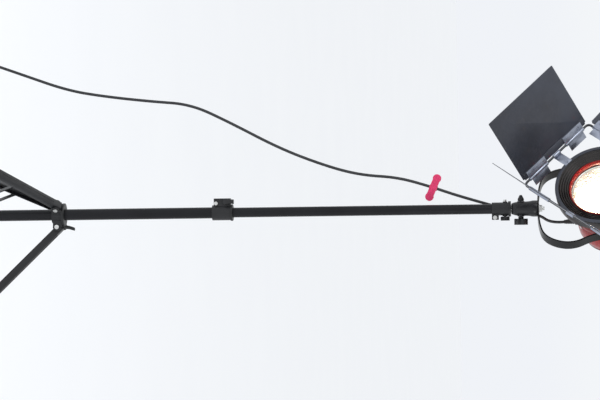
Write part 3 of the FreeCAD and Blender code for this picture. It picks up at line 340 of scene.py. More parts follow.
upper_route = [
    (0.03067, 0.04040, 1.65357),
    (0.03303, 0.04352, 1.62383),
    (0.0130, 0.0285, 1.5970),
    (0.0075, 0.0260, 1.5670),
]
middle_route = [
    (0.0075, 0.0260, 1.5670),
    (0.0020, 0.0235, 1.5370),
    (-0.00418, 0.02406, 1.5080),
    (-0.0130, 0.0245, 1.4780),
]
lower_route = [
    (-0.0130, 0.0245, 1.4780),
    (-0.0300, 0.02535, 1.4202),
    (-0.0520, 0.0290, 1.3580),
    (-0.0740, 0.0310, 1.2840),
    (-0.0800, 0.0340, 1.2030),
    (-0.1000, 0.0360, 1.1280),
    (-0.1420, 0.0390, 1.0200),
    (-0.2060, 0.0430, 0.9010),
    (-0.2470, 0.0460, 0.8150),
    (-0.2550, 0.0490, 0.7250),
    (-0.2680, 0.0530, 0.6200),
    (-0.2840, 0.0550, 0.5300),
    (-0.3220, 0.0580, 0.4250),
    (-0.3560, 0.0610, 0.3300),
    (-0.3800, 0.0640, 0.2350),
    (-0.3980, 0.0670, 0.1500),
    (-0.4120, 0.0700, 0.0860),
    (-0.4320, 0.0740, 0.0380),
    (-0.4680, 0.0790, 0.0095),
    (-0.5200, 0.0860, 0.0034),
]
tail_route = [
    (-0.5545, 0.1217, 0.0163),
    (-0.5550, 0.1560, 0.0135),
    (-0.5580, 0.1900, 0.0086),
    (-0.5650, 0.2230, 0.0086),
]

# The spare length lies in a neat ring of turns, three high and two across.
coil_centre = Vector((-0.5152, 0.12168))
outer_turn, inner_turn = 39.25 * mm, 32.75 * mm
first_layer, second_layer, third_layer = 3.35 * mm, 9.85 * mm, 16.35 * mm
tracks = [
    (outer_turn, first_layer), (inner_turn, first_layer), (inner_turn, second_layer),
    (outer_turn, second_layer), (inner_turn, third_layer), (outer_turn, third_layer),
]
coil_start, coil_sweep = -82, 98 + 5 * 360
turn_step = 20
crossing_length, crossing_period = 50, 310
pull_in = 0.75 + 0.25 * math.cos(math.radians(turn_step))
coil_route = []
for swept in range(turn_step, coil_sweep - turn_step // 2, turn_step):
    track = min(swept // crossing_period, len(tracks) - 1)
    into = 1.0 if track == 0 else min(1.0, (swept - track * crossing_period) / crossing_length)
    radius_from, layer_from = tracks[max(track - 1, 0)]
    radius_to, layer_to = tracks[track]
    radius = (radius_from + (radius_to - radius_from) * into) / pull_in
    angle = math.radians(coil_start - swept)
    coil_route.append((
        coil_centre.x + radius * math.cos(angle),
        coil_centre.y + radius * math.sin(angle),
        layer_from + (layer_to - layer_from) * into,
    ))

cord_upper, upper_path = jacketed("mains_cord_upper", upper_route)
cord_middle, middle_path = jacketed("mains_cord_middle", middle_route)
cord_lower, lower_path = jacketed("mains_cord_lower", lower_route + coil_route + tail_route)
for piece, stood_for in (
    (cord_upper, ["cord_upper"]),
    (cord_middle, ["cord_middle"]),
    (cord_lower, ["cord_lower", "cord_coil", "cord_tail"]),
):
    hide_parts(*stood_for)
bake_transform(cord_upper)
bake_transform(cord_middle)
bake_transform(cord_lower)

# ---------------------------------------------------------------- column tubes
# Three drawn aluminium tubes, powder-coated satin black, slide into each other.
tube_black = finish("tube_black", (0.010, 0.0105, 0.013), (0.005, 0.005, 0.006), 0.26, 0.36,
                    blotch=9.0, grain=1400.0, depth=0.00002, dust=0.02, Specular_IOR_Level=0.2)
coat(tube_black, "lower_tube", "mid_tube", "top_tube")
zinc = finish("zinc_plate", (0.72, 0.72, 0.70), (0.50, 0.50, 0.49), 0.22, 0.42,
              blotch=180.0, grain=2600.0, depth=0.00002, Metallic=1.0)
coat(zinc, "spigot", "hub_pins", "leg_rivets", "lower_clamp_screws", "upper_clamp_screws", "yoke_bolt",
     "head_fasteners")


# ---------------------------------------------------------------- legs
# Each leg is a pressed aluminium channel with rounded shoulders and a stiffening rib down its
# back, painted black. It hangs on a rivet in the collar and ends in a rubber boot.
joints = {joint["name"]: joint for joint in frame["joints"]}
leg_paint = finish("leg_black", (0.015, 0.0155, 0.018), (0.008, 0.008, 0.009), 0.26, 0.4,
                   blotch=11.0, grain=1200.0, depth=0.00003, rub_amount=0.3, dust=0.06,
                   Specular_IOR_Level=0.35)


def begin(kind, **sizes):
    """A new primitive, alone in the selection and in edit mode."""
    bpy.ops.object.select_all(action="DESELECT")
    getattr(bpy.ops.mesh, f"primitive_{kind}_add")(**sizes)
    bpy.ops.object.mode_set(mode="EDIT")
    bpy.ops.mesh.select_mode(type="VERT")
    return bpy.context.object


def settle():
    """Applies a new primitive's size and place."""
    bpy.ops.object.mode_set(mode="OBJECT")
    bpy.ops.object.transform_apply(location=True, rotation=True, scale=True)


def pick(piece, kind, passes):
    """In edit mode, selects only the verts, edges or faces that pass the test."""
    bpy.ops.mesh.select_mode(type={"verts": "VERT", "edges": "EDGE", "faces": "FACE"}[kind])
    bpy.ops.mesh.select_all(action="DESELECT")
    mesh = bmesh.from_edit_mesh(piece.data)
    for item in getattr(mesh, kind):
        item.select_set(bool(passes(item)))
    mesh.select_flush_mode()
    bmesh.update_edit_mesh(piece.data)


def modify(piece, kind, **values):
    """Adds a modifier and applies it."""
    if bpy.context.object.mode == "EDIT":
        bpy.ops.object.mode_set(mode="OBJECT")
    bpy.ops.object.select_all(action="DESELECT")
    piece.select_set(True)
    bpy.context.view_layer.objects.active = piece
    modifier = piece.modifiers.new(kind.title(), kind)
    for label, value in values.items():
        setattr(modifier, label, value)
    bpy.ops.object.modifier_apply(modifier=modifier.name)
    return piece


def ease(piece, width, segments=2, sharper_than=35):
    """Rounds the corners, as moulding, pressing and paint leave them."""
    return modify(piece, "BEVEL", width=width, segments=segments, limit_method="ANGLE",
                  angle_limit=math.radians(sharper_than), use_clamp_overlap=True)


def slab(low, high, width=0.0, segments=2):
    """A block between two corners, its edges eased."""
    middle = [(a + b) / 2 for a, b in zip(low, high)]
    piece = begin("cube", size=1, location=middle, scale=[b - a for a, b in zip(low, high)])
    settle()
    return ease(piece, width, segments) if width else piece


def drum(radius, low, high, width=0.0, steps=48, sides="Z"):
    """A round between two stations on an axis, its rims eased."""
    turn = {"Z": (0, 0, 0), "X": (0, math.pi / 2, 0), "Y": (-math.pi / 2, 0, 0)}[sides]
    axis = {"Z": Vector((0, 0, 1)), "X": Vector((1, 0, 0)), "Y": Vector((0, 1, 0))}[sides]
    piece = begin("cylinder", vertices=steps, radius=radius, depth=high - low,
                  location=axis * (low + high) / 2, rotation=turn)
    settle()
    return ease(piece, width) if width else piece


def gather(name, parts, place=None, smooth=35):
    """Joins the parts of one piece and carries its mesh to its place."""
    bpy.ops.object.select_all(action="DESELECT")
    for part in parts:
        part.select_set(True)
    bpy.context.view_layer.objects.active = parts[0]
    if len(parts) > 1:
        bpy.ops.object.join()
    piece = bpy.context.object
    piece.name = name
    piece.data.name = name
    piece.data.transform((place or Matrix.Identity(4)) @ piece.matrix_world)
    piece.matrix_world = Matrix.Identity(4)
    bpy.ops.object.shade_smooth_by_angle(angle=math.radians(smooth))
    return piece


def fit(piece, material, body, slot, *nodes):
    """Gives a piece its finish and its body, and hides the design's pieces that it stands for."""
    if material is not None:
        piece.data.materials.clear()
        piece.data.materials.append(material)
    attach(piece, body)
    if nodes:
        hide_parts(*nodes)
    return piece


leg_half, leg_inside, leg_outside = 8.5 * mm, -4.0 * mm, 12.0 * mm
leg_length, leg_head, leg_sheet = 716.0 * mm, 7.0 * mm, 1.5 * mm
foot_rubber = finish("foot_rubber", (0.034, 0.034, 0.035), (0.018, 0.018, 0.018), 0.55, 0.75,
                     blotch=60.0, grain=900.0, depth=0.00008, dust=0.5)
for number in (1, 2, 3):
    pivot = Vector(joints[f"leg_{number}_fold"]["pos_m"])
    leg_place = (Matrix.Translation(pivot) @ Matrix.Rotation(math.atan2(pivot.y, pivot.x), 4, "Z")
                 @ Matrix.Rotation(math.radians(-45), 4, "Y"))
    channel = slab((leg_inside, -leg_half, -leg_length), (leg_outside, leg_half, leg_head))
    bpy.ops.object.mode_set(mode="EDIT")
    pick(channel, "faces", lambda face: face.normal.x < -0.5 or abs(face.normal.z) > 0.5)
    bpy.ops.mesh.delete(type="FACE")
    pick(channel, "edges", lambda edge: all(vert.co.x > 0 for vert in edge.verts)
         and abs(edge.verts[0].co.z - edge.verts[1].co.z) > leg_length / 2)
    bpy.ops.mesh.bevel(offset=2.6 * mm, segments=4, affect="EDGES")
    modify(channel, "SOLIDIFY", thickness=leg_sheet, offset=-1)
    ease(channel, 0.35 * mm)
    rib = slab((leg_outside - 0.6 * mm, -2.2 * mm, -leg_length + 40 * mm),
               (leg_outside + 1.2 * mm, 2.2 * mm, -12 * mm), 1.0 * mm, 3)
    leg = gather(f"leg_channel_{number}", [channel, rib], leg_place)
    fit(leg, leg_paint, f"leg_{number}", "leg_black", f"leg_{number}")

    boot_low = (leg_inside - 3 * mm, -leg_half - 3 * mm, -leg_length - 18 * mm)
    boot_high = (leg_outside + 4 * mm, leg_half + 3 * mm, -leg_length + 26 * mm)
    boot = slab([a + 0.7 * mm for a in boot_low], [b - 0.7 * mm for b in boot_high], 2.2 * mm, 3)
    rings = []
    for ring_height in (-9, 1, 11, 21):
        station = -leg_length + ring_height * mm
        rings.append(slab((boot_low[0], boot_low[1], station), (boot_high[0], boot_high[1], station + 4 * mm),
                          1.2 * mm, 2))
    boot = gather(f"rubber_boot_{number}", [boot, *rings], leg_place)
    bpy.ops.object.mode_set(mode="EDIT")
    bpy.ops.mesh.select_all(action="SELECT")
    bpy.ops.mesh.bisect(plane_co=(0, 0, 0.0001), plane_no=(0, 0, 1), clear_inner=True, use_fill=True)
    bpy.ops.object.mode_set(mode="OBJECT")
    fit(boot, foot_rubber, f"leg_{number}", "foot_rubber", f"foot_{number}")
coat(leg_paint, "brace_1", "brace_2", "brace_3")

# ---------------------------------------------------------------- collar, hub and clamps
# Glass-filled nylon mouldings, matt black with the fine texture of the mould. The collar slides
# on the lower tube; the clamps are split and squeezed by a screw.
nylon = finish("clamp_plastic", (0.014, 0.0145, 0.016), (0.008, 0.008, 0.009), 0.38, 0.55,
               blotch=40.0, grain=1800.0, depth=0.00006, rub_amount=0.35,
               rub_colour=(0.06, 0.06, 0.065, 1), dust=0.08, Specular_IOR_Level=0.35)


def softened(node, name, width, segments=2):
    """A copy of a moulded piece with all its corners eased."""
    copy = frame["nodes"][node].copy()
    copy.data = copy.data.copy()
    bpy.context.scene.collection.objects.link(copy)
    for label in list(copy.keys()):
        del copy[label]
    copy.parent = None
    bpy.ops.object.select_all(action="DESELECT")
    copy.select_set(True)
    bpy.context.view_layer.objects.active = copy
    bpy.ops.object.mode_set(mode="EDIT")
    bpy.ops.mesh.select_all(action="SELECT")
    bpy.ops.mesh.remove_doubles(threshold=0.00001)
    bpy.ops.mesh.dissolve_limited(angle_limit=math.radians(1.5))
    bpy.ops.object.mode_set(mode="OBJECT")
    return gather(name, [ease(copy, width, segments)])


for node, body, width in (
    ("leg_collar", "leg_collar", 0.7), ("brace_hub", "stand_base", 0.6), ("tube_end_cap", "stand_base", 0.8),
    ("lower_clamp", "stand_base", 0.8), ("upper_clamp", "mid_column", 0.7),
):
    fit(softened(node, f"{node}_moulding", width * mm), nylon, body, "clamp_plastic", node)

# ---------------------------------------------------------------- knobs and levers
# The hand screws are black nylon moulded over steel inserts. The collar's has one wing that
# stands up, the lower clamp's is a flared lever, and the rest are lobed or fluted rounds.
knob_nylon = finish("knob_nylon", (0.014, 0.0145, 0.016), (0.008, 0.008, 0.009), 0.3, 0.46,
                    blotch=60.0, grain=1900.0, depth=0.00005, rub_amount=0.5,
                    rub_colour=(0.06, 0.06, 0.065, 1), dust=0.06, Specular_IOR_Level=0.35)


def axis_place(spot, axis, roll=0.0):
    """A frame at a spot whose Z runs along an axis."""
    turn = Vector((0, 0, 1)).rotation_difference(Vector(axis).normalized()).to_matrix().to_4x4()
    return Matrix.Translation(spot) @ turn @ Matrix.Rotation(math.radians(roll), 4, "Z")


def fluted_round(radius, flutes, depth, low, high, width):
    """A round with scooped flutes down its side and a dished face."""
    phases = 8
    piece = begin("cylinder", vertices=flutes * phases, radius=radius, depth=high - low,
                  location=(0, 0, (low + high) / 2))
    settle()
    bpy.ops.object.mode_set(mode="EDIT")
    for phase in range(1, phases // 2 + 1):
        wanted = math.cos(2 * math.pi * phase / phases)
        pick(piece, "verts",
             lambda vert: abs(math.cos(flutes * math.atan2(vert.co.y, vert.co.x)) - wanted) < 0.05)
        share = 1 - depth / radius * (1 - wanted) / 2
        bpy.ops.transform.resize(value=(share, share, 1), center_override=(0, 0, 0))
    pick(piece, "faces", lambda face: face.normal.z > 0.9)
    bpy.ops.mesh.inset(thickness=radius * 0.22)
    bpy.ops.transform.translate(value=(0, 0, -radius * 0.07))
    return ease(piece, width, 3, 40)


knob_spot = Vector(joints["collar_knob_turn"]["pos_m"])
knob_way = Vector(joints["collar_knob_turn"]["axis"])
knob_heading = math.atan2(knob_way.y, knob_way.x)
knob_place = Matrix.Translation((0, 0, knob_spot.z)) @ Matrix.Rotation(knob_heading, 4, "Z")
shank = drum(2.5 * mm, 14 * mm, 34 * mm, 0.3 * mm, 24, "X")
hub = drum(7.5 * mm, 31 * mm, 40 * mm, 1.2 * mm, 40, "X")
wing = begin("cube", size=1, location=(36.2 * mm, 0, 1 * mm), scale=(6.4 * mm, 7 * mm, 4 * mm))
settle()
bpy.ops.object.mode_set(mode="EDIT")
for lean, climb, narrow in ((1.6, 9, 1.0), (2.9, 7, 0.97), (2.6, 5.4, 0.92)):
    pick(wing, "faces", lambda face: face.normal.z > 0.6)
    bpy.ops.mesh.extrude_region_move(TRANSFORM_OT_translate={"value": (lean * mm, 0, climb * mm)})
    bpy.ops.transform.resize(value=(narrow, narrow, 1))
ease(wing, 1.5 * mm, 3)
fit(gather("collar_wing_knob", [hub, shank, wing], knob_place), knob_nylon, "collar_knob", "clamp_plastic",
    "collar_knob")

lever_low, lever_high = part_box("lower_clamp_lever")
lever_spot = Vector(joints["lower_clamp_lever_turn"]["pos_m"])
lever_place = Matrix.Translation((lever_spot.x, 0, lever_spot.z))
pivot_boss = drum(7 * mm, lever_low.y, lever_high.y, 1.0 * mm, 40, "Y")
arm = begin("cube", size=1, location=(0, -14.3 * mm, 2 * mm), scale=(9 * mm, 5.8 * mm, 4 * mm))
settle()
bpy.ops.object.mode_set(mode="EDIT")
for shift, climb, widen in ((0.3, 7, 1.06), (0.5, 7, 1.12)):
    pick(arm, "faces", lambda face: face.normal.z > 0.6)
    bpy.ops.mesh.extrude_region_move(TRANSFORM_OT_translate={"value": (shift * mm, 0, climb * mm)})
    bpy.ops.transform.resize(value=(widen, 1, 1))
ease(arm, 1.3 * mm, 3)
fit(gather("clamp_lever_flared", [pivot_boss, arm], lever_place), knob_nylon, "lower_clamp_lever",
    "clamp_plastic", "lower_clamp_lever")

upper_knob_spot = Vector(joints["upper_clamp_knob_turn"]["pos_m"])
knob_round = fluted_round(10 * mm, 12, 1.0 * mm, 0, 9 * mm, 0.5 * mm)
knob_shank = drum(2.5 * mm, -6.5 * mm, 0.5 * mm, 0.2 * mm, 24)
fit(gather("upper_clamp_round_knob", [knob_round, knob_shank],
           axis_place(upper_knob_spot, joints["upper_clamp_knob_turn"]["axis"])),
    knob_nylon, "upper_clamp_knob", "clamp_plastic", "upper_clamp_knob")

receiver_knob_spot = Vector(joints["receiver_knob_turn"]["pos_m"])
lobed = fluted_round(15 * mm, 6, 3.6 * mm, 5 * mm, 19 * mm, 1.1 * mm)
lobed_neck = drum(6 * mm, 0, 6 * mm, 0.6 * mm, 40)
lobed_shank = drum(3 * mm, -8.4 * mm, 1 * mm, 0.3 * mm, 24)
fit(gather("receiver_lobed_knob", [lobed, lobed_neck, lobed_shank],
           axis_place(receiver_knob_spot, joints["receiver_knob_turn"]["axis"])),
    knob_nylon, "receiver_knob", "clamp_plastic", "receiver_knob")

tilt_knob_spot = Vector(joints["tilt_knob_turn"]["pos_m"])
tilt_round = fluted_round(16 * mm, 6, 4.0 * mm, 0.7 * mm, 14.7 * mm, 1.2 * mm)
tilt_neck = drum(8 * mm, -5.3 * mm, 1.5 * mm, 0.6 * mm, 48)
fit(gather("tilt_lobed_knob", [tilt_round, tilt_neck],
           axis_place(tilt_knob_spot, joints["tilt_knob_turn"]["axis"])),
    knob_nylon, "tilt_knob", "clamp_plastic", "tilt_knob")


# ---------------------------------------------------------------- receiver and its pointed screw
# A die-cast socket, painted satin black, drops over the spigot and swells towards the yoke.
# A lobed knob clamps it from one side and a short pointed screw from the other.
cast_black = finish("cast_black", (0.014, 0.0145, 0.017), (0.008, 0.008, 0.009), 0.28, 0.42,
                    blotch=35.0, grain=1300.0, depth=0.00005, rub_amount=0.3, dust=0.05,
                    Specular_IOR_Level=0.35)


def turned(outline, steps=72, closed=False):
    """A shell of revolution about Z: its outline is drawn point by point, then spun."""
    piece = begin("plane", size=1 * mm)
    bpy.ops.mesh.merge(type="CENTER")
    bpy.ops.transform.translate(value=(outline[0][0], 0, outline[0][1]))
    corners = [*outline, outline[0]] if closed else outline
    for (x, z), (next_x, next_z) in zip(corners, corners[1:]):
        bpy.ops.mesh.extrude_region_move(TRANSFORM_OT_translate={"value": (next_x - x, 0, next_z - z)})
    bpy.ops.mesh.select_all(action="SELECT")
    bpy.ops.mesh.spin(steps=steps, angle=2 * math.pi, center=(0, 0, 0), axis=(0, 0, 1))
    bpy.ops.mesh.select_all(action="SELECT")
    bpy.ops.mesh.remove_doubles(threshold=0.000002)
    bpy.ops.mesh.normals_make_consistent(inside=False)
    bpy.ops.object.mode_set(mode="OBJECT")
    return piece


receiver_low, receiver_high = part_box("receiver")
foot_z, head_z = receiver_low.z, receiver_high.z
socket = turned([
    (8.1 * mm, foot_z), (11.5 * mm, foot_z), (13.4 * mm, foot_z + 4 * mm), (15.0 * mm, foot_z + 10 * mm),
    (15.3 * mm, foot_z + 14 * mm), (16.0 * mm, foot_z + 34 * mm), (16.6 * mm, foot_z + 40 * mm),
    (18.0 * mm, foot_z + 47 * mm), (18.0 * mm, head_z), (4.1 * mm, head_z), (4.1 * mm, foot_z + 50 * mm),
    (8.1 * mm, foot_z + 50 * mm),
], 64, True)
ease(socket, 0.8 * mm, 2, 25)
screw_height = joints["receiver_screw_turn"]["pos_m"][2]
pads = []
for side in (-1, 1):
    pad = drum(8.2 * mm, 13.0 * mm, 16.8 * mm, 0.8 * mm, 40, "X")
    pad.data.transform(Matrix.Translation((0, 0, screw_height)) @ Matrix.Scale(side, 4, (1, 0, 0)))
    if side < 0:
        pad.data.flip_normals()
    pads.append(pad)
fit(gather("receiver_casting", [socket, *pads], smooth=30), cast_black, "yoke", "receiver_black", "receiver")

pointed = turned([
    (0.0, 13.3 * mm), (2.6 * mm, 13.3 * mm), (3.4 * mm, 11.5 * mm), (6.6 * mm, 5.2 * mm),
    (7.0 * mm, 4.0 * mm), (7.0 * mm, 0.8 * mm), (6.2 * mm, 0.0), (0.0, 0.0),
], 48)
modify(pointed, "BEVEL", width=0.5 * mm, segments=2, limit_method="ANGLE", angle_limit=math.radians(25))
point_shank = drum(3 * mm, -8.4 * mm, 0.5 * mm, 0.3 * mm, 24)
fit(gather("receiver_pointed_screw", [pointed, point_shank],
           axis_place(joints["receiver_screw_turn"]["pos_m"], joints["receiver_screw_turn"]["axis"])),
    knob_nylon, "receiver_screw", "clamp_plastic", "receiver_screw")

# ---------------------------------------------------------------- yoke
# One flat steel strip, bent to a lyre, painted satin black and a little worn. It
# stands on the receiver's stud and holds the head by its two tilt bolts.
tilt_spot = Vector(joints["head_tilt"]["pos_m"])
tilt_axis = Vector(joints["head_tilt"]["axis"]).normalized()
beam = Vector(joints["door_turn"]["axis"]).normalized()
head_up = beam.cross(tilt_axis).normalized()
head_place = Matrix.Translation(tilt_spot) @ Matrix((tilt_axis, head_up, beam)).transposed().to_4x4()
yoke_place = Matrix.Translation(tilt_spot) @ Matrix.Rotation(math.atan2(tilt_axis.y, tilt_axis.x), 4, "Z")
yoke_paint = finish("yoke_black", (0.008, 0.008, 0.009), (0.004, 0.004, 0.0045), 0.2, 0.34,
                    blotch=18.0, grain=1200.0, depth=0.00003, rub_amount=0.3,
                    rub_colour=(0.20, 0.20, 0.21, 1), dust=0.02, Specular_IOR_Level=0.22)
half_lyre = [(77.5, 27.5), (77.5, 15), (77.5, -28), (107, -80), (89, -137), (44, -152)]
lyre = [(x * mm, 0, z * mm) for x, z in half_lyre] + [(-x * mm, 0, z * mm) for x, z in reversed(half_lyre)]
strip_line = cord_line("yoke_line", lyre)
strip_line.data.twist_mode = "MINIMUM"
strip_line.data.resolution_u = 14
bpy.ops.curve.primitive_bezier_circle_add()
section = bpy.context.object
section.data.splines.clear()
outline = section.data.splines.new("POLY")
half_thick, half_wide, corner = 1.75 * mm, 12.5 * mm, 0.5 * mm
corners = []
for sx, sy in ((1, 1), (-1, 1), (-1, -1), (1, -1)):
    ends = [(sx * half_thick, sy * (half_wide - corner)), (sx * (half_thick - corner), sy * half_wide)]
    corners += ends if sx * sy > 0 else ends[::-1]
outline.points.add(len(corners) - 1)
for place, (x, y) in zip(outline.points, corners):
    place.co = (x, y, 0, 1)
outline.use_cyclic_u = True
strip_line.data.bevel_mode = "OBJECT"
strip_line.data.bevel_object = section
strip_line.data.use_fill_caps = True
strip = to_mesh(strip_line)
bpy.data.objects.remove(section)
bpy.context.view_layer.objects.active = strip
bpy.ops.object.mode_set(mode="EDIT")
bpy.ops.mesh.select_all(action="SELECT")
bpy.ops.mesh.remove_doubles(threshold=0.00001)
bpy.ops.mesh.normals_make_consistent(inside=False)
for side in (-1, 1):
    pick(strip, "edges", lambda edge: all(abs(vert.co.z - 27.5 * mm) < 0.1 * mm and vert.co.x * side > 0
                                          for vert in edge.verts)
         and abs(edge.verts[0].co.x - edge.verts[1].co.x) > 1.5 * mm)
    bpy.ops.mesh.bevel(offset=11 * mm, segments=6, affect="EDGES")
bpy.ops.object.mode_set(mode="OBJECT")
fit(gather("yoke_strip", [strip], yoke_place, 30), yoke_paint, "yoke", "yoke_black", "yoke")

# ---------------------------------------------------------------- lamp housing
# Two die-cast aluminium shells in glossy red stoving enamel: a bell in front, whose turned-in
# lip shows red inside the black ring, and a slotted drum behind with a black cover.
red_enamel = finish("housing_red", (0.30, 0.007, 0.007), (0.19, 0.005, 0.005), 0.2, 0.36,
                    blotch=10.0, grain=500.0, depth=0.00005, rub_amount=0.3,
                    rub_colour=(0.14, 0.10, 0.10, 1), dust=0.02, Specular_IOR_Level=0.3,
                    Coat_Weight=0.1, Coat_Roughness=0.12)
bell_mouth, bell_waist = 99.5 * mm, 72.0 * mm
bell = turned([
    (74.7 * mm, 76 * mm), (74.7 * mm, 70 * mm), (98.4 * mm, 70 * mm), (99.5 * mm, 68.9 * mm),
    (99.5 * mm, 60 * mm), (98.2 * mm, 55.4 * mm), (94.6 * mm, 49.5 * mm), (76.6 * mm, 21.6 * mm),
    (73.8 * mm, 16.6 * mm), (72.8 * mm, 11 * mm), (72.0 * mm, -13.9 * mm), (69.0 * mm, -13.9 * mm),
    (70.0 * mm, 18.2 * mm), (96.5 * mm, 59.2 * mm), (96.5 * mm, 67 * mm), (70.6 * mm, 67 * mm),
    (71.8 * mm, 75.4 * mm), (72.6 * mm, 76.4 * mm), (73.9 * mm, 76.4 * mm),
], 96, True)
beads = []
for bead_station in (-10.5, 2.5, 7.5):
    bead_radius = bell_waist + (bead_station + 13.9) * mm * 0.032
    beads.append(turned([
        (bead_radius - 0.5 * mm, (bead_station - 1.6) * mm),
        (bead_radius + 0.35 * mm, (bead_station - 1.0) * mm),
        (bead_radius + 0.7 * mm, bead_station * mm),
        (bead_radius + 0.35 * mm, (bead_station + 1.0) * mm),
        (bead_radius - 0.5 * mm, (bead_station + 1.6) * mm),
    ], 96, True))
fit(gather("housing_bell", [bell, *beads], head_place, 32), red_enamel, "head", "housing_red",
    "housing_front")
fit(softened("housing_rear", "housing_drum", 0.5 * mm), red_enamel, "head", "housing_red", "housing_rear")
cover_paint = finish("cover_black", (0.028, 0.026, 0.026), (0.015, 0.014, 0.014), 0.34, 0.5,
                     blotch=20.0, grain=900.0, depth=0.0001, rub_amount=0.5, dust=0.15)
fit(softened("rear_cover", "housing_cover", 0.6 * mm), cover_paint, "head", "ring_black", "rear_cover")

# ---------------------------------------------------------------- ribbed front ring
# A black cast ring pushed over the bell's mouth. Concentric ribs step down towards the lens
# side. Their crests are painted reddish brown: partly a heat tint, and partly a painted glint of
# the halogen tube's warm light.
ring_black, tree, shader, spot = new_finish("ring_black")
base = place_group(tree, skin, spot, Light=(0.034, 0.027, 0.025, 1), Dark=(0.014, 0.012, 0.012, 1),
                   Blotch=30.0, Grain=1100.0, Gloss=0.2, Matt=0.38)
# Painted glint: the lamp's warm light laid on the rib crests as reddish brown, with some heat tint.
heat_tint_and_painted_glint = place_group(tree, corner_wear_and_glint, spot, Amount=1.0, Scale=35.0)
tree.links.new(add_mix(tree, heat_tint_and_painted_glint.outputs["Mask"], base.outputs["Colour"], (0.16, 0.055, 0.030, 1)),
               shader.inputs["Base Color"])
tree.links.new(base.outputs["Roughness"], shader.inputs["Roughness"])
add_relief(tree, base.outputs["Height"], shader, 0.00005)
ring_outer, ring_inner, ring_front, rim_station = 105.0 * mm, 75.0 * mm, 84.0 * mm, 70.0 * mm
rib_count = 6
rib_pitch = (ring_outer - ring_inner) / rib_count
ring_outline = [(ring_outer, rim_station - 9 * mm)]
for rib in range(rib_count):
    crest, height = ring_outer - rib_pitch * rib, ring_front - 1.35 * mm * rib
    ring_outline += [
        (crest, height - 2.4 * mm), (crest - rib_pitch * 0.14, height - 0.7 * mm),
        (crest - rib_pitch * 0.32, height), (crest - rib_pitch * 0.5, height - 0.5 * mm),
        (crest - rib_pitch * 0.66, height - 2.0 * mm), (crest - rib_pitch * 0.8, height - 2.6 * mm),
    ]
ring_outline += [
    (ring_inner, ring_front - 10.6 * mm), (ring_inner, rim_station + 0.4 * mm),
    (bell_mouth + 0.3 * mm, rim_station + 0.4 * mm), (bell_mouth + 0.3 * mm, rim_station - 9 * mm),
]
fit(gather("front_ring_ribbed", [turned(ring_outline, 128, True)], head_place, 50), ring_black, "head",
    "ring_black", "front_ring")

# ---------------------------------------------------------------- reflector
# A spun dish of bright aluminium, peened all over with small dimples so that the beam has no
# hot lines. Two windows in its sides let the lamp's ends through.
reflector_metal, tree, shader, spot = new_finish("peened_aluminium")
base = place_group(tree, skin, spot, Light=(0.93, 0.90, 0.84, 1), Dark=(0.84, 0.80, 0.72, 1), Blotch=35.0,
                   Grain=1600.0, Gloss=0.24, Matt=0.36)
tree.links.new(base.outputs["Colour"], shader.inputs["Base Color"])
tree.links.new(base.outputs["Roughness"], shader.inputs["Roughness"])
dimples = tree.nodes.new("ShaderNodeTexVoronoi")
dimples.feature = "SMOOTH_F1"
dimples.inputs["Scale"].default_value = 260.0
tree.links.new(spot, dimples.inputs["Vector"])
add_relief(tree, dimples.outputs["Distance"], shader, 0.0011, 0.8)
shader.inputs["Metallic"].default_value = 1.0
dish_mouth, dish_throat, dish_front, dish_back = 68.5 * mm, 18.0 * mm, 62.0 * mm, -8.0 * mm
dish_steps = 22
dish_curve = []
for step in range(dish_steps + 1):
    radius = dish_throat + (dish_mouth - dish_throat) * step / dish_steps
    depth_share = (radius ** 2 - dish_throat ** 2) / (dish_mouth ** 2 - dish_throat ** 2)
    dish_curve.append((radius, dish_back + (dish_front - dish_back) * depth_share))
dish_rim = [(dish_mouth + 1.2 * mm, dish_front + 0.6 * mm), (dish_mouth + 1.8 * mm, dish_front - 0.2 * mm)]
dish_shell = [(radius + 1.0 * mm, height - 0.6 * mm) for radius, height in reversed(dish_curve)]
dish = turned([*dish_curve, *dish_rim, *dish_shell], 128, True)
window_near = 35.5 * mm
windows = [slab((-70 * mm, -9.6 * mm, -12 * mm), (-window_near, 9.6 * mm, 45 * mm)),
           slab((window_near, -9.6 * mm, -12 * mm), (70 * mm, 9.6 * mm, 45 * mm))]
for window in windows:
    modify(dish, "BOOLEAN", operation="DIFFERENCE", object=window, solver="EXACT")
    bpy.data.objects.remove(window)
fit(gather("reflector_dish", [dish], head_place, 40), reflector_metal, "head", "reflector_metal", "reflector")

# ---------------------------------------------------------------- halogen tube and its holders
# A double-ended quartz tube with a coiled filament, alight, between two sprung ceramic ends.
# They ride on a steel carriage that the focus screw moves along the beam.
quartz, tree, shader, spot = new_finish("lit_quartz")
heat = add_range(tree, add_noise(tree, 160.0, spot, 2.0), 0.35, 0.65)
tree.links.new(add_mix(tree, heat, (1.0, 0.80, 0.56, 1), (1.0, 0.88, 0.68, 1)),
               shader.inputs["Emission Color"])
tree.links.new(add_mix(tree, heat, (0.95, 0.88, 0.75, 1), (0.98, 0.94, 0.86, 1)), shader.inputs["Base Color"])
tree.links.new(add_range(tree, heat, 0.0, 1.0, 0.12, 0.3), shader.inputs["Roughness"])
shader.inputs["Emission Strength"].default_value = 60.0
lamp_line_place = head_place @ Matrix.Translation((0, 0, 20 * mm)) @ Matrix.Rotation(math.pi / 2, 4, "Y")
half_lamp = 37.0 * mm
envelope = turned([
    (0.0, -half_lamp), (3.0 * mm, -half_lamp), (3.2 * mm, -half_lamp + 4 * mm),
    (2.2 * mm, -half_lamp + 5.5 * mm), (4.2 * mm, -half_lamp + 7.5 * mm), (5.0 * mm, -half_lamp + 10 * mm),
    (5.0 * mm, half_lamp - 10 * mm), (4.2 * mm, half_lamp - 7.5 * mm), (2.2 * mm, half_lamp - 5.5 * mm),
    (3.2 * mm, half_lamp - 4 * mm), (3.0 * mm, half_lamp), (0.0, half_lamp),
], 32)
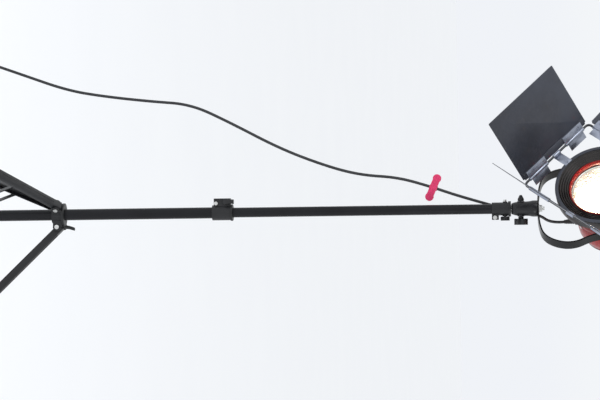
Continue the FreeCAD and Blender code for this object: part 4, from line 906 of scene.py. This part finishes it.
fit(gather("halogen_tube", [envelope], lamp_line_place, 50), quartz, "lamp_carriage", "lamp_quartz",
    "lamp_tube")
ceramic = finish("lamp_ceramic", (0.62, 0.52, 0.44), (0.38, 0.27, 0.21), 0.5, 0.75,
                 blotch=70.0, grain=700.0, depth=0.00012, rub_amount=0.5, rub_colour=(0.72, 0.66, 0.58, 1))
holder_parts = []
for side in (-1, 1):
    near, far = sorted((side * 37.2 * mm, side * 49.2 * mm))
    cap_near, cap_far = sorted((side * 38.6 * mm, side * 42.0 * mm))
    holder_parts.append(slab((near, -8 * mm, 13 * mm), (far, 8 * mm, 27 * mm), 1.6 * mm, 3))
    holder_parts.append(slab((cap_near, -8.3 * mm, 12.7 * mm), (cap_far, 8.3 * mm, 27.3 * mm), 0.8 * mm))
fit(gather("ceramic_holders", holder_parts, head_place), ceramic, "lamp_carriage", "lamp_ceramic",
    "lamp_holders")
plain_steel = finish("carriage_steel", (0.52, 0.52, 0.53), (0.33, 0.33, 0.34), 0.3, 0.5,
                     blotch=60.0, grain=2200.0, depth=0.00003, Metallic=1.0)
fit(softened("lamp_carriage", "carriage_plate", 0.4 * mm), plain_steel, "lamp_carriage", "carriage_steel",
    "lamp_carriage")

# ---------------------------------------------------------------- back of the head
# Behind the cover are the fluted focus knob and a rocker switch. A moulded nylon grip arches
# over them, and the cord leaves below through a ribbed rubber sleeve.
focus_place = head_place @ Matrix.Translation((0, 0, -100 * mm))
focus_round = fluted_round(14.6 * mm, 14, 1.7 * mm, 0, 12 * mm, 0.7 * mm)
focus_round.data.transform(Matrix.Rotation(math.pi, 4, "X") @ Matrix.Translation((0, 0, -12 * mm)))
focus_screw = drum(3 * mm, 6 * mm, 84 * mm, 0.3 * mm, 32)
fit(gather("focus_fluted_knob", [focus_round, focus_screw], focus_place), knob_nylon, "focus_knob",
    "clamp_plastic", "focus_knob")
gloss_black = finish("switch_plastic", (0.022, 0.022, 0.023), (0.015, 0.015, 0.016), 0.14, 0.24,
                     blotch=90.0, grain=1500.0, depth=0.00001)
fit(softened("rocker_switch", "power_rocker", 0.5 * mm), gloss_black, "rocker_switch", "switch_plastic",
    "rocker_switch")

grip_route = [(0, 66, -50), (0, 92, -54), (0, 102, -84), (0, 90, -118), (0, 58, -122), (0, 44, -88)]
grip = cord_line("grip_line", [(x * mm, y * mm, z * mm) for x, y, z in grip_route])
grip.data.resolution_u = 20
grip.data.bevel_depth = 6.6 * mm
grip.data.bevel_resolution = 5
grip.data.use_fill_caps = True
grip = to_mesh(grip)
front_foot = slab((-11.5 * mm, 66 * mm, -59 * mm), (11.5 * mm, 76 * mm, -41 * mm), 3 * mm, 3)
back_foot = slab((-9.5 * mm, 40 * mm, -98 * mm), (9.5 * mm, 53 * mm, -83.5 * mm), 3 * mm, 3)
fit(gather("carrying_grip", [grip, front_foot, back_foot], head_place, 40), nylon, "head", "clamp_plastic",
    "rear_handle")

gland_rubber = finish("gland_rubber", (0.028, 0.028, 0.029), (0.015, 0.015, 0.016), 0.5, 0.7,
                      blotch=80.0, grain=1200.0, depth=0.00006, dust=0.25)
gland_line = [(3.3 * mm, 0.0), (6.0 * mm, 0.0), (6.0 * mm, -11.2 * mm), (9.0 * mm, -11.2 * mm),
              (9.0 * mm, -16.0 * mm), (7.4 * mm, -16.4 * mm)]
sleeve_length, sleeve_ribs = 23.6 * mm, 6
for rib in range(sleeve_ribs):
    for share, lift in ((0.12, 0.0), (0.3, -0.75), (0.62, -0.75), (0.8, 0.0)):
        station = (rib + share) / sleeve_ribs
        gland_line.append(((7.2 - 2.6 * station + lift) * mm, -16.4 * mm - sleeve_length * station))
gland_line += [(4.6 * mm, -40 * mm), (3.3 * mm, -40 * mm)]
gland_place = head_place @ Matrix.Translation((0, -60 * mm, -38 * mm)) @ Matrix.Rotation(-math.pi / 2, 4, "X")
strain_relief = gather("strain_relief", [turned(gland_line, 48, True)], gland_place, 40)
fit(strain_relief, gland_rubber, "head", "gland_rubber", "cable_gland")

# ---------------------------------------------------------------- barn-door frame
# A bent steel rod makes a rectangle in front of the ring. Four pressed clips join it to a thin
# ring that snaps into the front, so the set of doors turns round the beam.
rod_steel = finish("door_rod", (0.055, 0.057, 0.064), (0.022, 0.022, 0.025), 0.24, 0.42,
                   blotch=60.0, grain=1500.0, depth=0.00002, rub_amount=0.9, Metallic=0.35)
clip_steel = finish("hinge_steel", (0.38, 0.41, 0.49), (0.25, 0.27, 0.33), 0.24, 0.4,
                    blotch=90.0, grain=2200.0, depth=0.00003, rub_amount=0.4,
                    rub_colour=(0.8, 0.8, 0.82, 1), Metallic=0.9)
leaf_paint = finish("door_black", (0.050, 0.056, 0.076), (0.030, 0.031, 0.039), 0.2, 0.36,
                    blotch=7.0, grain=1300.0, depth=0.00003, rub_amount=0.35,
                    rub_colour=(0.30, 0.31, 0.33, 1), dust=0.03, Metallic=0.2)
door_place = (head_place @ Matrix.Translation((0, 0, ring_front))
              @ Matrix.Rotation(math.radians(-43), 4, "Z"))
rod_radius, rod_height, rod_bend = 2.75 * mm, 6.0 * mm, 9.0 * mm
door_x, door_y = 105.0 * mm, 135.0 * mm
rod_loop = begin("circle", vertices=20, radius=rod_radius,
                 location=(door_x, -(door_y - rod_bend), rod_height), rotation=(math.pi / 2, 0, 0))
bpy.ops.mesh.select_all(action="SELECT")
for quarter in range(4):
    heading = math.radians(90 * quarter)
    side_run = 2 * ((door_x if quarter % 2 else door_y) - rod_bend)
    way = Vector((-math.sin(heading), math.cos(heading), 0))
    bpy.ops.mesh.extrude_region_move(TRANSFORM_OT_translate={"value": way * side_run})
    corner_x = (door_x - rod_bend) * (1 if quarter in (0, 3) else -1)
    corner_y = (door_y - rod_bend) * (1 if quarter in (0, 1) else -1)
    bpy.ops.mesh.spin(steps=8, angle=-math.pi / 2, center=(corner_x, corner_y, rod_height), axis=(0, 0, 1))
bpy.ops.mesh.select_all(action="SELECT")
bpy.ops.mesh.remove_doubles(threshold=0.00002)
bpy.ops.mesh.normals_make_consistent(inside=False)
bpy.ops.object.mode_set(mode="OBJECT")
fit(gather("door_rod", [rod_loop], door_place, 60), rod_steel, "barn_doors", "door_black", "door_frame")

# A flat ring joins the clips; each clip is a strap that ends in an eye rolled round the rod.
band_inside, band_outside, band_back, band_front = 97.2 * mm, 104.3 * mm, 0.5 * mm, 2.3 * mm
ring_band = turned([(band_inside, band_back), (band_outside, band_back), (band_outside, band_front),
                    (band_inside, band_front)], 96, True)
ring_band = ease(ring_band, 0.3 * mm)
clips = []
for quarter in range(4):
    clip_reach = door_y if quarter % 2 else door_x
    quarter_turn = Matrix.Rotation(math.radians(90 * quarter), 4, "Z")
    strap = slab((99 * mm, -10 * mm, 1.0 * mm), (clip_reach, 10 * mm, 2.4 * mm), 0.3 * mm)
    web = slab((clip_reach - 1.2 * mm, -9.8 * mm, 1.2 * mm), (clip_reach + 1.2 * mm, 9.8 * mm, rod_height))
    eye = drum(4.55 * mm, -10 * mm, 10 * mm, 0.5 * mm, 40, "Y")
    eye.data.transform(Matrix.Translation((clip_reach, 0, rod_height)))
    screw = drum(3.0 * mm, 2.3 * mm, 3.6 * mm, 0.5 * mm, 24)
    screw.data.transform(Matrix.Translation((102 * mm, 0, 0)))
    clips += [gather(f"clip_{quarter}", [strap, web, eye, screw], quarter_turn)]
fit(gather("door_ring", [ring_band], door_place), leaf_paint, "barn_doors", "door_black")
fit(gather("door_clips", clips, door_place), clip_steel, "barn_doors", "hinge_steel")

# ---------------------------------------------------------------- barn-door leaves
# Sheet aluminium leaves in satin anthracite paint, their outer corners rounded and their edges
# broken. A folded strip stiffens the hinge side, and two bright plates are riveted on and rolled
# round the rod, which the leaf turns on.
leaf_sheet, leaf_root, leaf_tip = 1.2 * mm, 9.0 * mm, 170.0 * mm
knuckle = 4.43 * mm
for leaf_name, way_x, way_y, opening in (
    ("side_leaf_near", 0, -1, 28.0), ("wide_leaf_near", 1, 0, 25.0),
    ("side_leaf_far", 0, 1, 40.0), ("wide_leaf_far", -1, 0, 85.0),
):
    half = 133.5 * mm if way_x else 102.0 * mm
    outward, beam_way, swing = Vector((way_x, way_y, 0)), Vector((0, 0, 1)), math.radians(opening)
    sheet_way = outward * math.sin(swing) + beam_way * math.cos(swing)
    normal = beam_way * math.sin(swing) - outward * math.cos(swing)
    hinge_way = sheet_way.cross(normal)
    leaf_place = (door_place
                  @ Matrix.Translation(outward * (door_x if way_x else door_y) + beam_way * rod_height)
                  @ Matrix((hinge_way, sheet_way, normal)).transposed().to_4x4())
    sheet = slab((-half, leaf_root, -leaf_sheet / 2), (half, leaf_tip, leaf_sheet / 2))
    bpy.ops.object.mode_set(mode="EDIT")
    pick(sheet, "edges", lambda edge: edge.verts[0].co.y > 0.1
         and abs(edge.verts[0].co.z - edge.verts[1].co.z) > leaf_sheet / 2)
    bpy.ops.mesh.bevel(offset=2.5 * mm, segments=4, affect="EDGES")
    pick(sheet, "edges", lambda edge: edge.verts[0].co.y < 0.02 and edge.verts[1].co.y < 0.02
         and abs(edge.verts[0].co.z - edge.verts[1].co.z) > leaf_sheet / 2)
    bpy.ops.mesh.bevel(offset=2 * mm, segments=4, affect="EDGES")
    sheet = ease(sheet, 0.25 * mm)
    fold = slab((-half + 4 * mm, 6.0 * mm, 0.5 * mm), (half - 4 * mm, 22 * mm, 1.7 * mm), 0.35 * mm, 3)
    fit(gather(f"{leaf_name}_sheet", [sheet, fold], leaf_place), leaf_paint, leaf_name, "door_black",
        leaf_name)

    plates = []
    for plate_low in (-half + 14 * mm, half - 72 * mm):
        plate_high = plate_low + 58 * mm
        roll = drum(knuckle, plate_low, plate_high, 0.5 * mm, 40, "X")
        face = slab((plate_low, 0, 1.8 * mm), (plate_high, 20 * mm, 3.0 * mm), 0.3 * mm)
        tail = slab((plate_low + 5 * mm, -20 * mm, 1.8 * mm), (plate_high - 5 * mm, 0.5 * mm, 3.0 * mm),
                    0.3 * mm)
        plates += [roll, face, tail]
        for along in (9, 29, 49):
            rivet = drum(2.1 * mm, 2.9 * mm, 3.9 * mm, 0.7 * mm, 20)
            rivet.data.transform(Matrix.Translation((plate_low + along * mm, 14 * mm, 0)))
            plates.append(rivet)
    fit(gather(f"{leaf_name}_plates", plates, leaf_place), clip_steel, leaf_name, "hinge_steel",
        f"{leaf_name}_hinges")

# ---------------------------------------------------------------- cord tag and plug
# A crimson hook-and-loop strap is folded over the cord. The plug is moulded onto the cord in
# glossy black plastic, with a tapered neck and two nickel-plated pins.
strap_cloth = finish("tag_fabric", (0.74, 0.035, 0.15), (0.50, 0.018, 0.085), 0.8, 0.95,
                     blotch=420.0, grain=2600.0, depth=0.0003, Sheen_Weight=0.5)
fit(softened("cord_tag", "cord_strap", 0.5 * mm, 3), strap_cloth, "mid_column", "tag_fabric", "cord_tag")
plug_plastic = finish("plug_plastic", (0.022, 0.022, 0.024), (0.013, 0.013, 0.014), 0.2, 0.34,
                      blotch=35.0, grain=1500.0, depth=0.00003, dust=0.2)
plug_nickel = finish("plug_nickel", (0.70, 0.68, 0.64), (0.54, 0.52, 0.49), 0.16, 0.3,
                     blotch=200.0, grain=2400.0, depth=0.00001, Metallic=1.0)
softened("mains_plug", "plug_moulding", 1.4 * mm, 3)
bpy.ops.object.mode_set(mode="EDIT")
bpy.ops.mesh.select_all(action="SELECT")
bpy.ops.mesh.separate(type="LOOSE")
bpy.ops.object.mode_set(mode="OBJECT")
pieces = sorted(bpy.context.selected_objects, key=lambda piece: len(piece.data.vertices))
fit(gather("plug_body", [pieces[-1]]), plug_plastic, "stand_base", "plug_plastic", "mains_plug")
fit(gather("plug_pins", pieces[:-1]), plug_nickel, "stand_base", "bright_steel")
